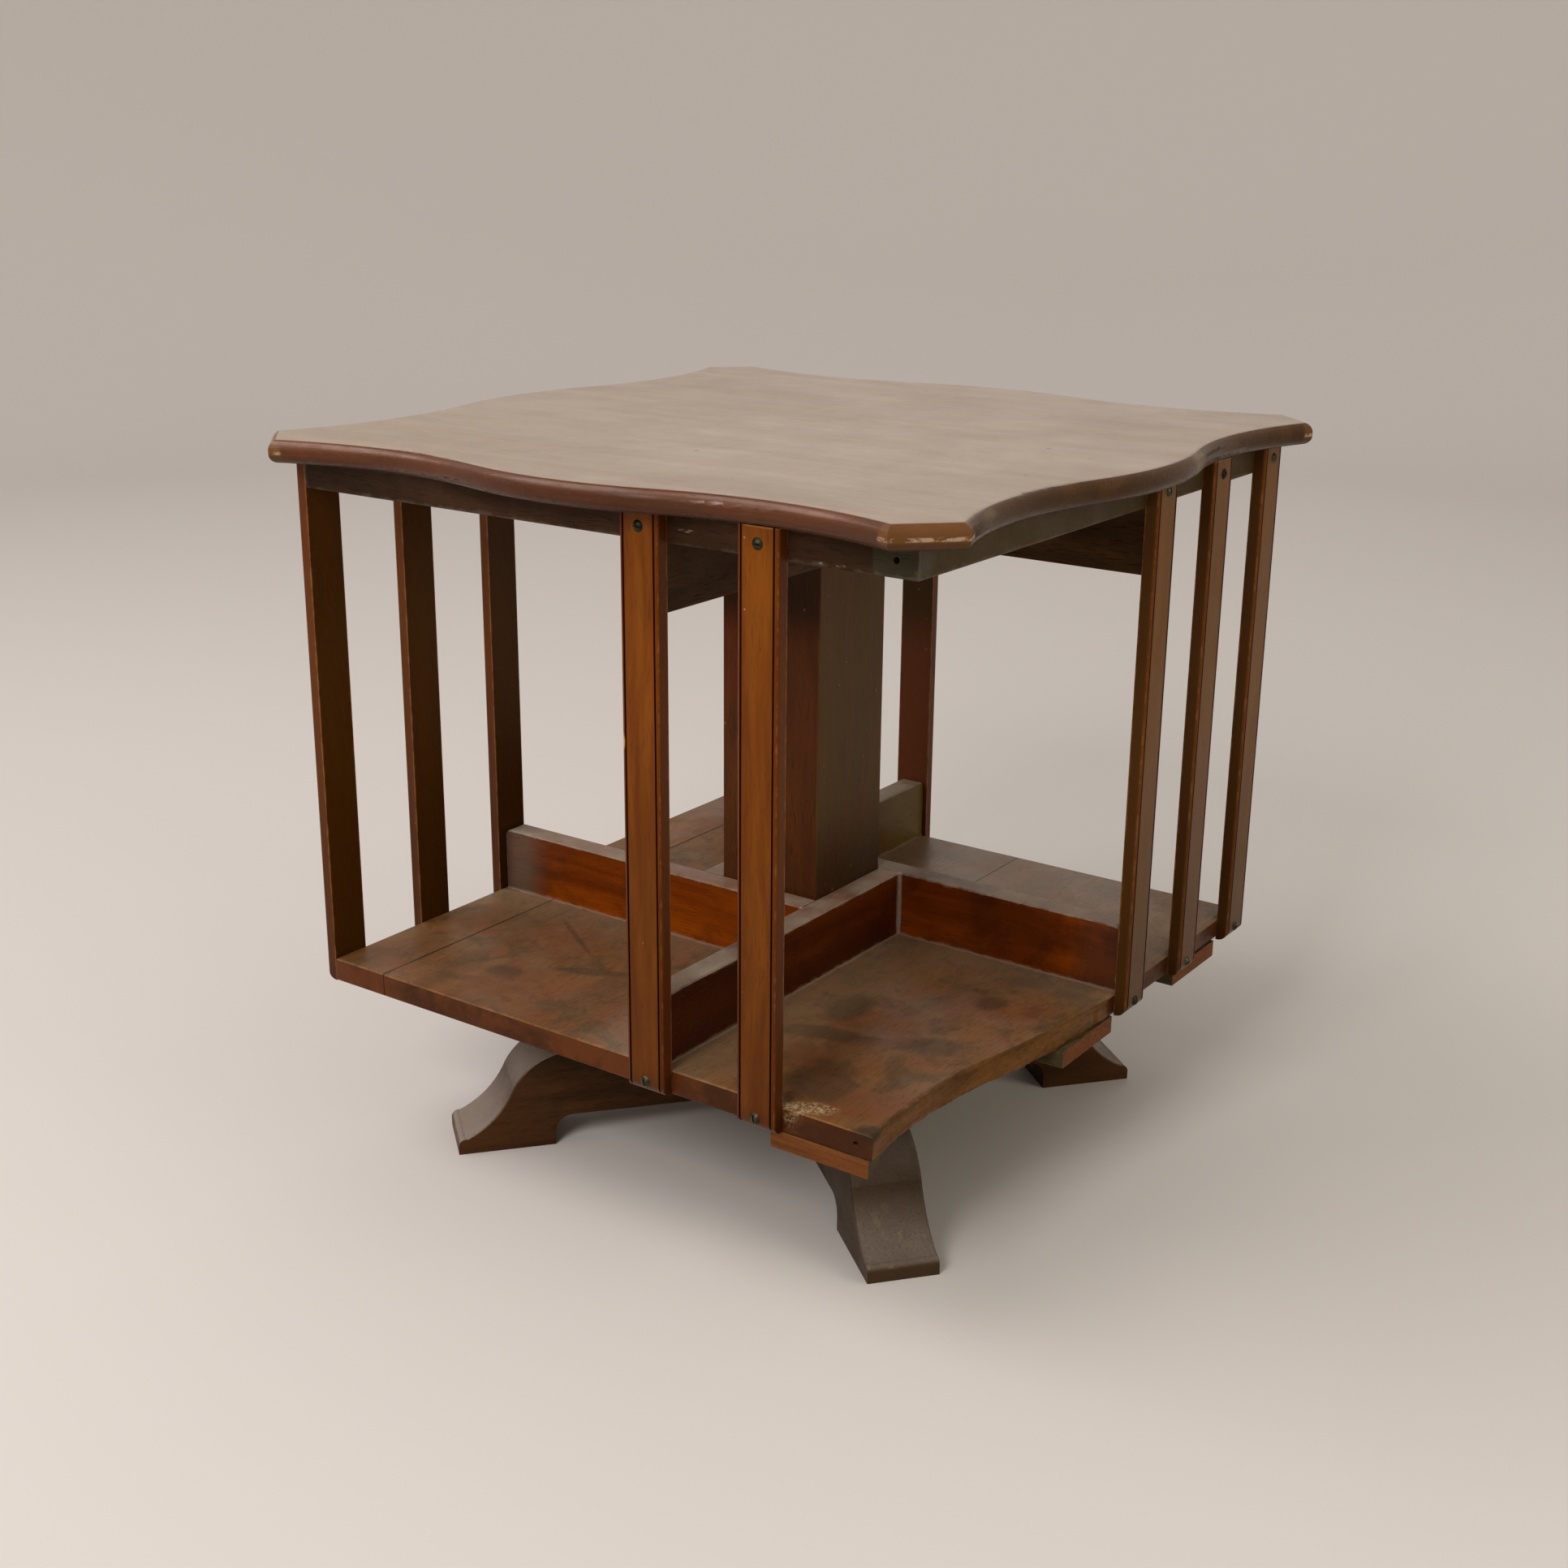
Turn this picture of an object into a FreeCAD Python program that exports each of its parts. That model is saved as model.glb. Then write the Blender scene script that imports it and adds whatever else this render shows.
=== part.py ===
"""Revolving desktop bookcase: a four-bay carousel that turns on a cross-shaped base.

Millimetres, +Z up. The origin is on the turning axis, on the surface that the base stands on.
The front of the carousel faces -Y. Each of its four sides is the side before it, turned by 90 degrees
about the axis, so the rails and slats are drawn once, for the left side (-X), and turned.
"""
import FreeCAD, Part
import math
import os

from FreeCAD import Vector

# ---- driving dimensions ----
SHELF_SIDE = 370.0          # square shelf and under-board, edge to edge
SHELF_THICK = 13.0
BOOK_HEIGHT = 262.0         # clear height between the shelf and the under-board
UNDERBOARD_THICK = 15.5
TOP_THICK = 12.0

TOP_CREST_OUT = 26.0        # how far the bow in the middle of each edge stands out past the under-board
TOP_TROUGH_OUT = 10.0       # the same for the hollow on each side of that bow
TOP_CORNER_OUT = 24.0       # and for the edge beside a corner
TOP_TROUGH_IN = 98.0        # from the top's corner, before it is canted, to where the hollow is deepest
TOP_CANT = 25.0             # cut taken off each corner, measured along the edge
TOP_NOSE_UPPER = 5.5        # rounding of the top's upper and lower edges
TOP_NOSE_LOWER = 4.8

COLUMN_SIDE = 63.6
COLUMN_WALL = 9.0
RAIL_THICK = 14.0
LOWER_RAIL_HEIGHT = 37.0
UPPER_RAIL_HEIGHT = 34.5
RAIL_NOSE = 4.5             # rounding of the lower rails' upper corner at the outer end
BOARD_ARRIS = 0.7           # easing of the long edges of boards, rails, column and beams

SLAT_WIDE = 22.5
SLAT_THICK = 7.0
SLAT_END_ROUND = 6.2        # rounding of a slat's lower outer edge
SLAT_BEAD = 1.8             # rounding of a slat's outer corners, as far as the quirks beside them
QUIRK_WIDE = 1.1
QUIRK_DEEP = 1.1            # the groove between each bead and the flat of the face
RAIL_SLAT_SHIFT = 1.7       # the slat on a rail's end stands this far past the rail's centre

PLANK_JOINTS = (-148.0, 40.0)   # where the shelf's planks meet, from left to right
PLANK_CRACK = 0.4
LOST_EDGE_CORNER = 14.8     # how far the right-hand edge has broken back at the front corner
LOST_EDGE_DEEPEST = 18.5    # how far it has broken back where most is gone
LOST_EDGE_DEEPEST_AT = -140.0
LOST_EDGE_TURN = 11.0       # how far back it still is where the break turns outwards
LOST_EDGE_TURN_AT = -75.0
LOST_EDGE_END_AT = 22.0
LOST_EDGE_SWELL = 2.6       # how far the break swells out between its turn and its end
LOST_SLAT_SCREW_IN = 25.0   # from the shelf's corner to the hole left by the slat that is gone

BEARER_THICK = 9.5
BEARER_WIDE = 55.5
CROSS_BEARER_IN = 52.8      # shelf's edge to the centre line of the bearers along its front and back
SIDE_BEARER_IN = 45.8       # the same for the bearers along its left and right
LOST_BEARER_WIDE = 13.5     # how far the right bearer's outer side has split away
LOST_BEARER_LONG = 43.0     # how far back from the front the split runs in

BEAM_HALF_LENGTH = 201.5
BEAM_WIDE = 38.0
BEAM_HEIGHT = 57.0
BEAM_TIP = 9.0
BEAM_TIP_ROUND = 4.0        # rounding of the tip's upper edge
BEAM_SHOULDER_AT = 140.0    # where the flat top ends and the shaped end begins
BEAM_OGEE_AT = 170.0        # where the shaped end turns from round to hollow
BEAM_OGEE_HEIGHT = 37.0
BEAM_ROUND_RISE = 4.5
BEAM_HOLLOW_RISE = 3.8
FOOT_INNER = 147.0
ARCH_HEIGHT = 17.5
ARCH_ROUND = 10.0
BASE_TURN = 5.0             # the cross stands this far round from the carousel's diagonals

BOSS_RADIUS = 56.0
BOSS_THICK = 14.5
BOSS_CHAMFER = 3.0
SPINDLE_RADIUS = 8.0
SPINDLE_FLANGE_RADIUS = 28.0
SPINDLE_FLANGE_THICK = 4.0
SPINDLE_END_GAP = 0.6       # top of the spindle to the bottom of its cup
SPINDLE_CHAMFER = 2.0
THRUST_WASHER_RADIUS = 20.0
THRUST_WASHER_THICK = 2.5
HUB_RADIUS = 34.0
HUB_PLATE_THICK = 7.0
HUB_BARREL_RADIUS = 12.0
CUP_RADIUS = 12.0
CUP_DEPTH = 20.0
CUP_WALL = 3.0
TOP_BLOCK_HEIGHT = 34.0
NUT_ACROSS = 24.0
NUT_THICK = 6.5
NUT_WASHER_RADIUS = 17.0
NUT_WASHER_THICK = 1.6
SPINDLE_BELOW_NUT = 1.4

SLAT_SCREW_HEAD = 2.8
SLAT_SCREW_DOME = 1.3
SLAT_SCREW_SHANK = 1.5
SLAT_SCREW_LENGTH = 21.5
WOOD_SCREW_HEAD = 3.6
WOOD_SCREW_SHANK = 1.8
FLANGE_SCREW_RING = 23.0    # ring of screws in the spindle's flange
FLANGE_SCREW_LENGTH = 14.0
HUB_SCREW_RING = 27.0
HUB_SCREW_LENGTH = 15.0
BOSS_SCREW_RING = 44.0
BOSS_SCREW_LENGTH = 34.0
TOP_SCREW_LENGTH = 22.0
TOP_SCREW_INSET = 28.0

RUNNING_GAP = 0.05          # radial clearance of the spindle in its hub and cup
THRUST_WASHER_GAP = 0.25
SEAT_GAP = 0.05             # radial clearance of a screw or barrel in its hole
FIT_GAP = 0.1               # clearance of the lap joint and of the block in the column

# ---- heights and positions that follow from them ----
HALF = SHELF_SIDE / 2
BOSS_Z = BEAM_HEIGHT
FLANGE_Z = BOSS_Z + BOSS_THICK
WASHER_Z = FLANGE_Z + SPINDLE_FLANGE_THICK
HUB_Z = WASHER_Z + THRUST_WASHER_THICK
BEARER_Z = HUB_Z + HUB_PLATE_THICK
SHELF_Z = BEARER_Z + BEARER_THICK
FLOOR_Z = SHELF_Z + SHELF_THICK             # top face of the shelf, where books stand
UNDERBOARD_Z = FLOOR_Z + BOOK_HEIGHT
TOP_Z = UNDERBOARD_Z + UNDERBOARD_THICK
TOP_CREST = HALF + TOP_CREST_OUT
TOP_TROUGH = HALF + TOP_TROUGH_OUT
TOP_CORNER = HALF + TOP_CORNER_OUT
TOP_TROUGH_AT = TOP_CORNER - TOP_TROUGH_IN
COLUMN_HALF = COLUMN_SIDE / 2
RAIL_OUT = COLUMN_HALF + RAIL_THICK
CAVITY_HALF = COLUMN_HALF - COLUMN_WALL
TOP_BLOCK_Z = UNDERBOARD_Z - TOP_BLOCK_HEIGHT
CUP_Z = TOP_BLOCK_Z
CUP_FLOOR_Z = CUP_Z + CUP_DEPTH
SPINDLE_TOP = CUP_FLOOR_Z - SPINDLE_END_GAP
NUT_TOP = ARCH_HEIGHT - NUT_WASHER_THICK
SPINDLE_BOTTOM = NUT_TOP - NUT_THICK - SPINDLE_BELOW_NUT
SLAT_SCREW_HEIGHTS = (SHELF_Z + SHELF_THICK / 2, UNDERBOARD_Z + UNDERBOARD_THICK / 2)

CORNER_SLAT_Y = -HALF + SLAT_WIDE / 2
RAIL_SLAT_Y = -(COLUMN_HALF + RAIL_THICK / 2) - RAIL_SLAT_SHIFT
SLAT_CENTRES = {
    "corner": CORNER_SLAT_Y,
    "middle": (CORNER_SLAT_Y + RAIL_SLAT_Y) / 2,
    "rail": RAIL_SLAT_Y,
}
SIDES = ("left", "front", "right", "back")  # each is the one before, turned by 90 degrees
LOST_SLAT = ("front", "corner")             # this slat is gone from the object

Z_AXIS = Vector(0, 0, 1)
ORIGIN = Vector(0, 0, 0)
SIDE_VIEW = Vector(0, -1, 0)                # looking along +Y, with X to the right and Z up
LEVEL = 0.01                                # how exactly an edge has to lie at a height to be picked


# ---- drawing helpers ----
def box(x0, x1, y0, y1, z0, z1):
    return Part.makeBox(x1 - x0, y1 - y0, z1 - z0, Vector(x0, y0, z0))


def rod(radius, z0, z1, x=0.0, y=0.0):
    return Part.makeCylinder(radius, z1 - z0, Vector(x, y, z0))


def ring(inner, outer, z0, z1):
    return rod(outer, z0, z1).cut(rod(inner, z0, z1))


def line(a, b):
    return Part.LineSegment(a, b).toShape()


def arc(a, through, b):
    return Part.Arc(a, through, b).toShape()


def bowed(a, b, rise, view):
    """Arc from a to b whose middle stands off the chord by rise, to the left of a-b as seen in that view."""
    left = view.cross(b.sub(a)).normalize()
    return arc(a, a.add(b).multiply(0.5).add(left.multiply(rise)), b)


def closed_wire(edges):
    return Part.Wire(Part.__sortEdges__(edges))


def edges_at(shape, height):
    """Edges that lie at that height all along."""
    return [edge for edge in shape.Edges
            if abs(edge.BoundBox.ZMin - height) < LEVEL and abs(edge.BoundBox.ZMax - height) < LEVEL]


def eased(shape, edges):
    """The same shape with a narrow chamfer along those edges."""
    return shape.makeChamfer(BOARD_ARRIS, edges)


def turned(shape, degrees):
    copy = shape.copy()
    copy.rotate(ORIGIN, Z_AXIS, degrees)
    return copy


def moved(shape, x, y, z):
    copy = shape.copy()
    copy.translate(Vector(x, y, z))
    return copy


def revolved(points):
    """Solid of revolution about Z from a closed outline of (radius, height) points."""
    corners = [Vector(r, 0, z) for r, z in points]
    outline = Part.makePolygon(corners + corners[:1])
    return Part.Face(outline).revolve(ORIGIN, Z_AXIS, 360)


def wood_screw(length, gap=0.0):
    """Countersunk screw along -Z with its flat head at z = 0; with a gap, the hole that it fits."""
    head, shank = WOOD_SCREW_HEAD + gap, WOOD_SCREW_SHANK + gap
    return revolved([(0, 0), (head, 0), (shank, shank - head), (shank, -length - gap), (0, -length - gap)])


def upward(shape):
    """The same screw or hole, driven upwards."""
    copy = shape.copy()
    copy.rotate(ORIGIN, Vector(1, 0, 0), 180)
    return copy


def at_places(shape, places, height):
    return [moved(shape, x, y, height) for x, y in places]


def ring_places(radius, start):
    """Four places on a circle, the first one start degrees round from +X."""
    angles = [math.radians(start + quarter) for quarter in (0, 90, 180, 270)]
    return [(radius * math.cos(angle), radius * math.sin(angle)) for angle in angles]


# ---- base ----
FLANGE_SCREW_PLACES = ring_places(FLANGE_SCREW_RING, BASE_TURN)
BOSS_SCREW_PLACES = ring_places(BOSS_SCREW_RING, BASE_TURN + 45)    # two into each beam


def beam_outline():
    """Side view of a base beam: flat top, ogee ends, a foot at each end and a low arch between."""
    def place(sign, along, height):
        return Vector(sign * along, 0, height)

    def shaped_end(sign):
        """Edges from the arch's end round the foot and up to the shoulder."""
        reach = ARCH_ROUND * (1 - math.cos(math.pi / 4))
        arch_end = place(sign, FOOT_INNER - ARCH_ROUND, ARCH_HEIGHT)
        arch_turn = place(sign, FOOT_INNER - reach, ARCH_HEIGHT - reach)
        foot_wall = place(sign, FOOT_INNER, ARCH_HEIGHT - ARCH_ROUND)
        foot_in = place(sign, FOOT_INNER, 0)
        foot_out = place(sign, BEAM_HALF_LENGTH, 0)
        tip_reach = BEAM_TIP_ROUND * (1 - math.cos(math.pi / 4))
        tip_low = place(sign, BEAM_HALF_LENGTH, BEAM_TIP - BEAM_TIP_ROUND)
        tip_turn = place(sign, BEAM_HALF_LENGTH - tip_reach, BEAM_TIP - tip_reach)
        tip = place(sign, BEAM_HALF_LENGTH - BEAM_TIP_ROUND, BEAM_TIP)
        ogee = place(sign, BEAM_OGEE_AT, BEAM_OGEE_HEIGHT)
        shoulder = place(sign, BEAM_SHOULDER_AT, BEAM_HEIGHT)
        return [
            arc(arch_end, arch_turn, foot_wall),
            line(foot_wall, foot_in),
            line(foot_in, foot_out),
            line(foot_out, tip_low),
            arc(tip_low, tip_turn, tip),
            bowed(tip, ogee, sign * BEAM_HOLLOW_RISE, SIDE_VIEW),
            bowed(ogee, shoulder, -sign * BEAM_ROUND_RISE, SIDE_VIEW),
        ]

    top = line(place(1, BEAM_SHOULDER_AT, BEAM_HEIGHT), place(-1, BEAM_SHOULDER_AT, BEAM_HEIGHT))
    arch_half = FOOT_INNER - ARCH_ROUND
    arch = line(place(-1, arch_half, ARCH_HEIGHT), place(1, arch_half, ARCH_HEIGHT))
    return closed_wire(shaped_end(1) + [top] + shaped_end(-1) + [arch])


def on_beam_outside(edge):
    """Whether this edge of a beam runs along its flat top or one of its shaped ends."""
    return edge.BoundBox.YLength < LEVEL and edge.BoundBox.ZMax > ARCH_HEIGHT + LEVEL


def base_beam(lap_from_top):
    """Beam along X, halved at its middle so that the two beams cross at one level."""
    beam = Part.Face(beam_outline()).extrude(Vector(0, BEAM_WIDE, 0))
    beam.translate(Vector(0, -BEAM_WIDE / 2, 0))
    beam = eased(beam, [edge for edge in beam.Edges if on_beam_outside(edge)])
    lap_z = (ARCH_HEIGHT + BEAM_HEIGHT) / 2
    reach = BEAM_WIDE / 2 + FIT_GAP
    if lap_from_top:
        beam = beam.cut(box(-reach, reach, -BEAM_WIDE, BEAM_WIDE, lap_z, BEAM_HEIGHT + 1))
    else:
        beam = beam.cut(box(-reach, reach, -BEAM_WIDE, BEAM_WIDE, ARCH_HEIGHT - 1, lap_z))
    return beam.cut(rod(SPINDLE_RADIUS + SEAT_GAP, 0, BEAM_HEIGHT + 1))


def base_beams():
    screws = at_places(wood_screw(BOSS_SCREW_LENGTH, SEAT_GAP), BOSS_SCREW_PLACES, FLANGE_Z)
    lower = turned(base_beam(lap_from_top=True), BASE_TURN + 45)
    upper = turned(base_beam(lap_from_top=False), BASE_TURN - 45)
    return {"base_beam_lower": lower.cut(screws), "base_beam_upper": upper.cut(screws)}


def base_boss():
    """Round wooden block on the crossing, which carries the spindle's flange."""
    boss = rod(BOSS_RADIUS, BOSS_Z, FLANGE_Z)
    boss = boss.makeChamfer(BOSS_CHAMFER, edges_at(boss, FLANGE_Z))
    holes = [rod(SPINDLE_RADIUS + SEAT_GAP, BOSS_Z, FLANGE_Z)]
    holes += at_places(wood_screw(BOSS_SCREW_LENGTH, SEAT_GAP), BOSS_SCREW_PLACES, FLANGE_Z)
    holes += [rod(WOOD_SCREW_SHANK + SEAT_GAP, BOSS_Z, FLANGE_Z, x, y) for x, y in FLANGE_SCREW_PLACES]
    return boss.cut(holes)


def spindle():
    """Steel post with a flange, which the carousel turns on."""
    tip = SPINDLE_RADIUS - SPINDLE_CHAMFER
    post = revolved([
        (0, SPINDLE_BOTTOM), (SPINDLE_RADIUS, SPINDLE_BOTTOM),
        (SPINDLE_RADIUS, FLANGE_Z), (SPINDLE_FLANGE_RADIUS, FLANGE_Z),
        (SPINDLE_FLANGE_RADIUS, WASHER_Z), (SPINDLE_RADIUS, WASHER_Z),
        (SPINDLE_RADIUS, SPINDLE_TOP - SPINDLE_CHAMFER), (tip, SPINDLE_TOP), (0, SPINDLE_TOP),
    ])
    return post.cut(at_places(wood_screw(FLANGE_SCREW_LENGTH, SEAT_GAP), FLANGE_SCREW_PLACES, WASHER_Z))


def base_fasteners():
    """Screws, nut and washers of the base; the nut is square."""
    flange_screws = at_places(wood_screw(FLANGE_SCREW_LENGTH), FLANGE_SCREW_PLACES, WASHER_Z)
    boss_screws = at_places(wood_screw(BOSS_SCREW_LENGTH), BOSS_SCREW_PLACES, FLANGE_Z)
    bore = SPINDLE_RADIUS + SEAT_GAP
    half = NUT_ACROSS / 2
    nut = box(-half, half, -half, half, NUT_TOP - NUT_THICK, NUT_TOP)
    nut = nut.cut(rod(bore, NUT_TOP - NUT_THICK, NUT_TOP))
    return {
        "flange_screws": Part.makeCompound(flange_screws),
        "boss_screws": Part.makeCompound(boss_screws),
        "nut_washer": ring(bore, NUT_WASHER_RADIUS, NUT_TOP, ARCH_HEIGHT),
        "spindle_nut": turned(nut, BASE_TURN),
        "thrust_washer": ring(SPINDLE_RADIUS + THRUST_WASHER_GAP, THRUST_WASHER_RADIUS, WASHER_Z, HUB_Z),
    }


# ---- bearings of the carousel ----
def hub():
    """Brass plate under the shelf, with a barrel up through it that runs on the spindle."""
    bore = SPINDLE_RADIUS + RUNNING_GAP
    body = revolved([
        (bore, HUB_Z), (HUB_RADIUS, HUB_Z), (HUB_RADIUS, BEARER_Z),
        (HUB_BARREL_RADIUS, BEARER_Z), (HUB_BARREL_RADIUS, FLOOR_Z), (bore, FLOOR_Z),
    ])
    return body.cut(hub_screws(SEAT_GAP))


def hub_screws(gap=0.0):
    """The hub's screws or, with a gap, their holes."""
    return at_places(upward(wood_screw(HUB_SCREW_LENGTH, gap)), ring_places(HUB_SCREW_RING, 45), HUB_Z)


def top_block():
    """Wooden block in the head of the column, bored for the spindle's cup."""
    half = CAVITY_HALF - FIT_GAP
    block = box(-half, half, -half, half, TOP_BLOCK_Z, UNDERBOARD_Z)
    return block.cut(rod(CUP_RADIUS + SEAT_GAP, CUP_Z, CUP_FLOOR_Z + CUP_WALL))


def spindle_cup():
    """Brass cup, open below, that the head of the spindle turns in."""
    bore = SPINDLE_RADIUS + RUNNING_GAP
    return revolved([
        (bore, CUP_Z), (CUP_RADIUS, CUP_Z), (CUP_RADIUS, CUP_FLOOR_Z + CUP_WALL),
        (0, CUP_FLOOR_Z + CUP_WALL), (0, CUP_FLOOR_Z), (bore, CUP_FLOOR_Z),
    ])


# ---- boards of the carousel ----
def shelf_outline():
    """Plan of the shelf: square, with the right-hand edge broken back towards the front corner."""
    corner = Vector(HALF - LOST_EDGE_CORNER, -HALF, 0)
    deepest = Vector(HALF - LOST_EDGE_DEEPEST, LOST_EDGE_DEEPEST_AT, 0)
    turn = Vector(HALF - LOST_EDGE_TURN, LOST_EDGE_TURN_AT, 0)
    end = Vector(HALF, LOST_EDGE_END_AT, 0)
    middle = turn.add(end).multiply(0.5).add(Vector(LOST_EDGE_SWELL, 0, 0))
    left_front, left_back, right_back = Vector(-HALF, -HALF, 0), Vector(-HALF, HALF, 0), Vector(HALF, HALF, 0)
    return closed_wire([
        line(left_front, corner), arc(corner, deepest, turn), arc(turn, middle, end),
        line(end, right_back), line(right_back, left_back), line(left_back, left_front),
    ])


def on_broken_side(edge):
    """Whether this edge of the shelf lies along the break at its right-hand side."""
    middle = edge.CenterOfMass
    return middle.x > HALF - LOST_EDGE_DEEPEST and middle.y < LOST_EDGE_END_AT


def slat_screw_cutters():
    """Holes for the slat screws, in slats and board edges alike, with the empty one of the lost slat."""
    cutters = []
    for turn, side in enumerate(SIDES):
        for place, y in SLAT_CENTRES.items():
            for height in SLAT_SCREW_HEIGHTS:
                if (side, place) == LOST_SLAT and height == SLAT_SCREW_HEIGHTS[0]:
                    continue
                cutters.append(turned(slat_screw_hole(y, height), 90 * turn))
    low = SLAT_SCREW_HEIGHTS[0]
    lost = Part.makeCylinder(SLAT_SCREW_SHANK + SEAT_GAP, SLAT_SCREW_LENGTH - SLAT_THICK,
                             Vector(HALF - LOST_SLAT_SCREW_IN, -HALF, low), Vector(0, 1, 0))
    return cutters + [lost]


def shelf_planks():
    """The shelf's planks run from front to back and are cut from one outline."""
    shelf = Part.Face(shelf_outline()).extrude(Vector(0, 0, SHELF_THICK))
    shelf.translate(Vector(0, 0, SHELF_Z))
    sound = [edge for edge in edges_at(shelf, SHELF_Z) + edges_at(shelf, FLOOR_Z)
             if not on_broken_side(edge)]
    shelf = eased(shelf, sound)
    shelf = shelf.cut(slat_screw_cutters() + [rod(HUB_BARREL_RADIUS + SEAT_GAP, SHELF_Z, FLOOR_Z)])
    edges = (-HALF,) + PLANK_JOINTS + (HALF,)
    planks = {}
    for number, (left, right) in enumerate(zip(edges[:-1], edges[1:]), start=1):
        gap = PLANK_CRACK / 2
        x0 = left + (gap if left > -HALF else 0)
        x1 = right - (gap if right < HALF else 0)
        planks["shelf_plank_%d" % number] = shelf.common(box(x0, x1, -HALF, HALF, SHELF_Z, FLOOR_Z))
    return planks


def bearers():
    """Boards under the planks: one across the middle and four that chase each other round it."""
    wide = BEARER_WIDE / 2
    cross_at, side_at = HALF - CROSS_BEARER_IN, HALF - SIDE_BEARER_IN
    inner, outer = side_at - wide, side_at + wide
    middle = box(-HALF, HALF, -wide, wide, BEARER_Z, SHELF_Z)
    holes = [rod(HUB_BARREL_RADIUS + SEAT_GAP, BEARER_Z, SHELF_Z)]
    holes += hub_screws(SEAT_GAP)
    cross = box(-inner, HALF, cross_at - wide, cross_at + wide, BEARER_Z, SHELF_Z)
    side = box(inner, outer, -HALF, -wide, BEARER_Z, SHELF_Z)
    return {
        "bearer_middle": middle.cut(holes),
        "bearer_back": cross,
        "bearer_front": turned(cross, 180),
        "bearer_right": side.cut(bearer_split(outer)),
        "bearer_left": turned(side, 180),
    }


def bearer_split(outer):
    """What has split off the outer side of the right bearer: it runs in from the front, then straight back."""
    depth = outer - LOST_BEARER_WIDE
    points = [(outer, -HALF), (depth, -HALF + LOST_BEARER_LONG), (depth, 0), (outer + 1, 0), (outer + 1, -HALF)]
    corners = [Vector(x, y, BEARER_Z) for x, y in points]
    return Part.Face(Part.makePolygon(corners + corners[:1])).extrude(Vector(0, 0, BEARER_THICK))


def under_board():
    board = box(-HALF, HALF, -HALF, HALF, UNDERBOARD_Z, TOP_Z)
    board = eased(board, edges_at(board, UNDERBOARD_Z))
    return board.cut(slat_screw_cutters() + top_screws(SEAT_GAP))


def top_screws(gap=0.0):
    """Screws up into the top, near the under-board's corners or, with a gap, their holes."""
    reach = HALF - TOP_SCREW_INSET
    places = [(x, y) for x in (-reach, reach) for y in (-reach, reach)]
    return at_places(upward(wood_screw(TOP_SCREW_LENGTH, gap)), places, UNDERBOARD_Z)


def top_outline():
    """Plan of the top: a bow in the middle of each edge, a hollow on each side, and canted corners.

    The bow and the hollows are circles that touch, so each edge runs from one into the other.
    """
    corner_at = TOP_CORNER - TOP_CANT
    run, rise = corner_at - TOP_TROUGH_AT, TOP_CORNER - TOP_TROUGH
    hollow_radius = (run ** 2 + rise ** 2) / (2 * rise)
    drop = TOP_CREST - TOP_TROUGH
    radii = (TOP_TROUGH_AT ** 2 + drop ** 2) / (2 * drop)
    bow_radius = radii - hollow_radius
    meet_at = TOP_TROUGH_AT * bow_radius / radii
    meet_out = TOP_CREST - bow_radius + (radii - drop) * bow_radius / radii
    edges = []
    for quarter in range(4):
        # the front edge, from left to right, turned to each side
        points = [(-corner_at, -TOP_CORNER), (-TOP_TROUGH_AT, -TOP_TROUGH), (-meet_at, -meet_out),
                  (0, -TOP_CREST), (meet_at, -meet_out), (TOP_TROUGH_AT, -TOP_TROUGH),
                  (corner_at, -TOP_CORNER), (TOP_CORNER, -corner_at)]
        p = [FreeCAD.Rotation(Z_AXIS, 90 * quarter).multVec(Vector(x, y, 0)) for x, y in points]
        edges += [arc(p[0], p[1], p[2]), arc(p[2], p[3], p[4]), arc(p[4], p[5], p[6]), line(p[6], p[7])]
    return closed_wire(edges)


def top_board():
    """Moulded top: the serpentine outline with both edges rounded over."""
    board = Part.Face(top_outline()).extrude(Vector(0, 0, TOP_THICK))
    board.translate(Vector(0, 0, TOP_Z))
    board = board.makeFillet(TOP_NOSE_UPPER, edges_at(board, TOP_Z + TOP_THICK))
    board = board.makeFillet(TOP_NOSE_LOWER, edges_at(board, TOP_Z))
    return board.cut(top_screws(SEAT_GAP))


# ---- column ----
def column_panels():
    """Four boards round a square cavity, each overlapping the next one's edge."""
    panel = box(-COLUMN_HALF, -CAVITY_HALF, -COLUMN_HALF, CAVITY_HALF, FLOOR_Z, UNDERBOARD_Z)
    corner = [edge for edge in panel.Edges
              if edge.CenterOfMass.x < -CAVITY_HALF - LEVEL and edge.CenterOfMass.y < -CAVITY_HALF
              and edge.BoundBox.ZLength > LEVEL]
    panel = eased(panel, corner)
    return {"column_panel_%s" % side: turned(panel, 90 * turn) for turn, side in enumerate(SIDES)}


# ---- rails ----
def rails():
    """Each rail lies on one face of the column and runs out past it to an edge of the shelf."""
    lower_top, upper_bottom = FLOOR_Z + LOWER_RAIL_HEIGHT, UNDERBOARD_Z - UPPER_RAIL_HEIGHT
    lower = box(-HALF, COLUMN_HALF, -RAIL_OUT, -COLUMN_HALF, FLOOR_Z, lower_top)
    nose = [edge for edge in edges_at(lower, lower_top) if edge.CenterOfMass.x < -HALF + LEVEL]
    lower = lower.makeFillet(RAIL_NOSE, nose)
    lower = eased(lower, [edge for edge in edges_at(lower, lower_top) if edge.BoundBox.YLength < LEVEL])
    upper = box(-HALF, COLUMN_HALF, -RAIL_OUT, -COLUMN_HALF, upper_bottom, UNDERBOARD_Z)
    upper = eased(upper, [edge for edge in edges_at(upper, upper_bottom) if edge.BoundBox.YLength < LEVEL])
    pieces = {}
    for turn, side in enumerate(SIDES):
        pieces["lower_rail_%s" % side] = turned(lower, 90 * turn)
        pieces["upper_rail_%s" % side] = turned(upper, 90 * turn)
    return pieces


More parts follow.
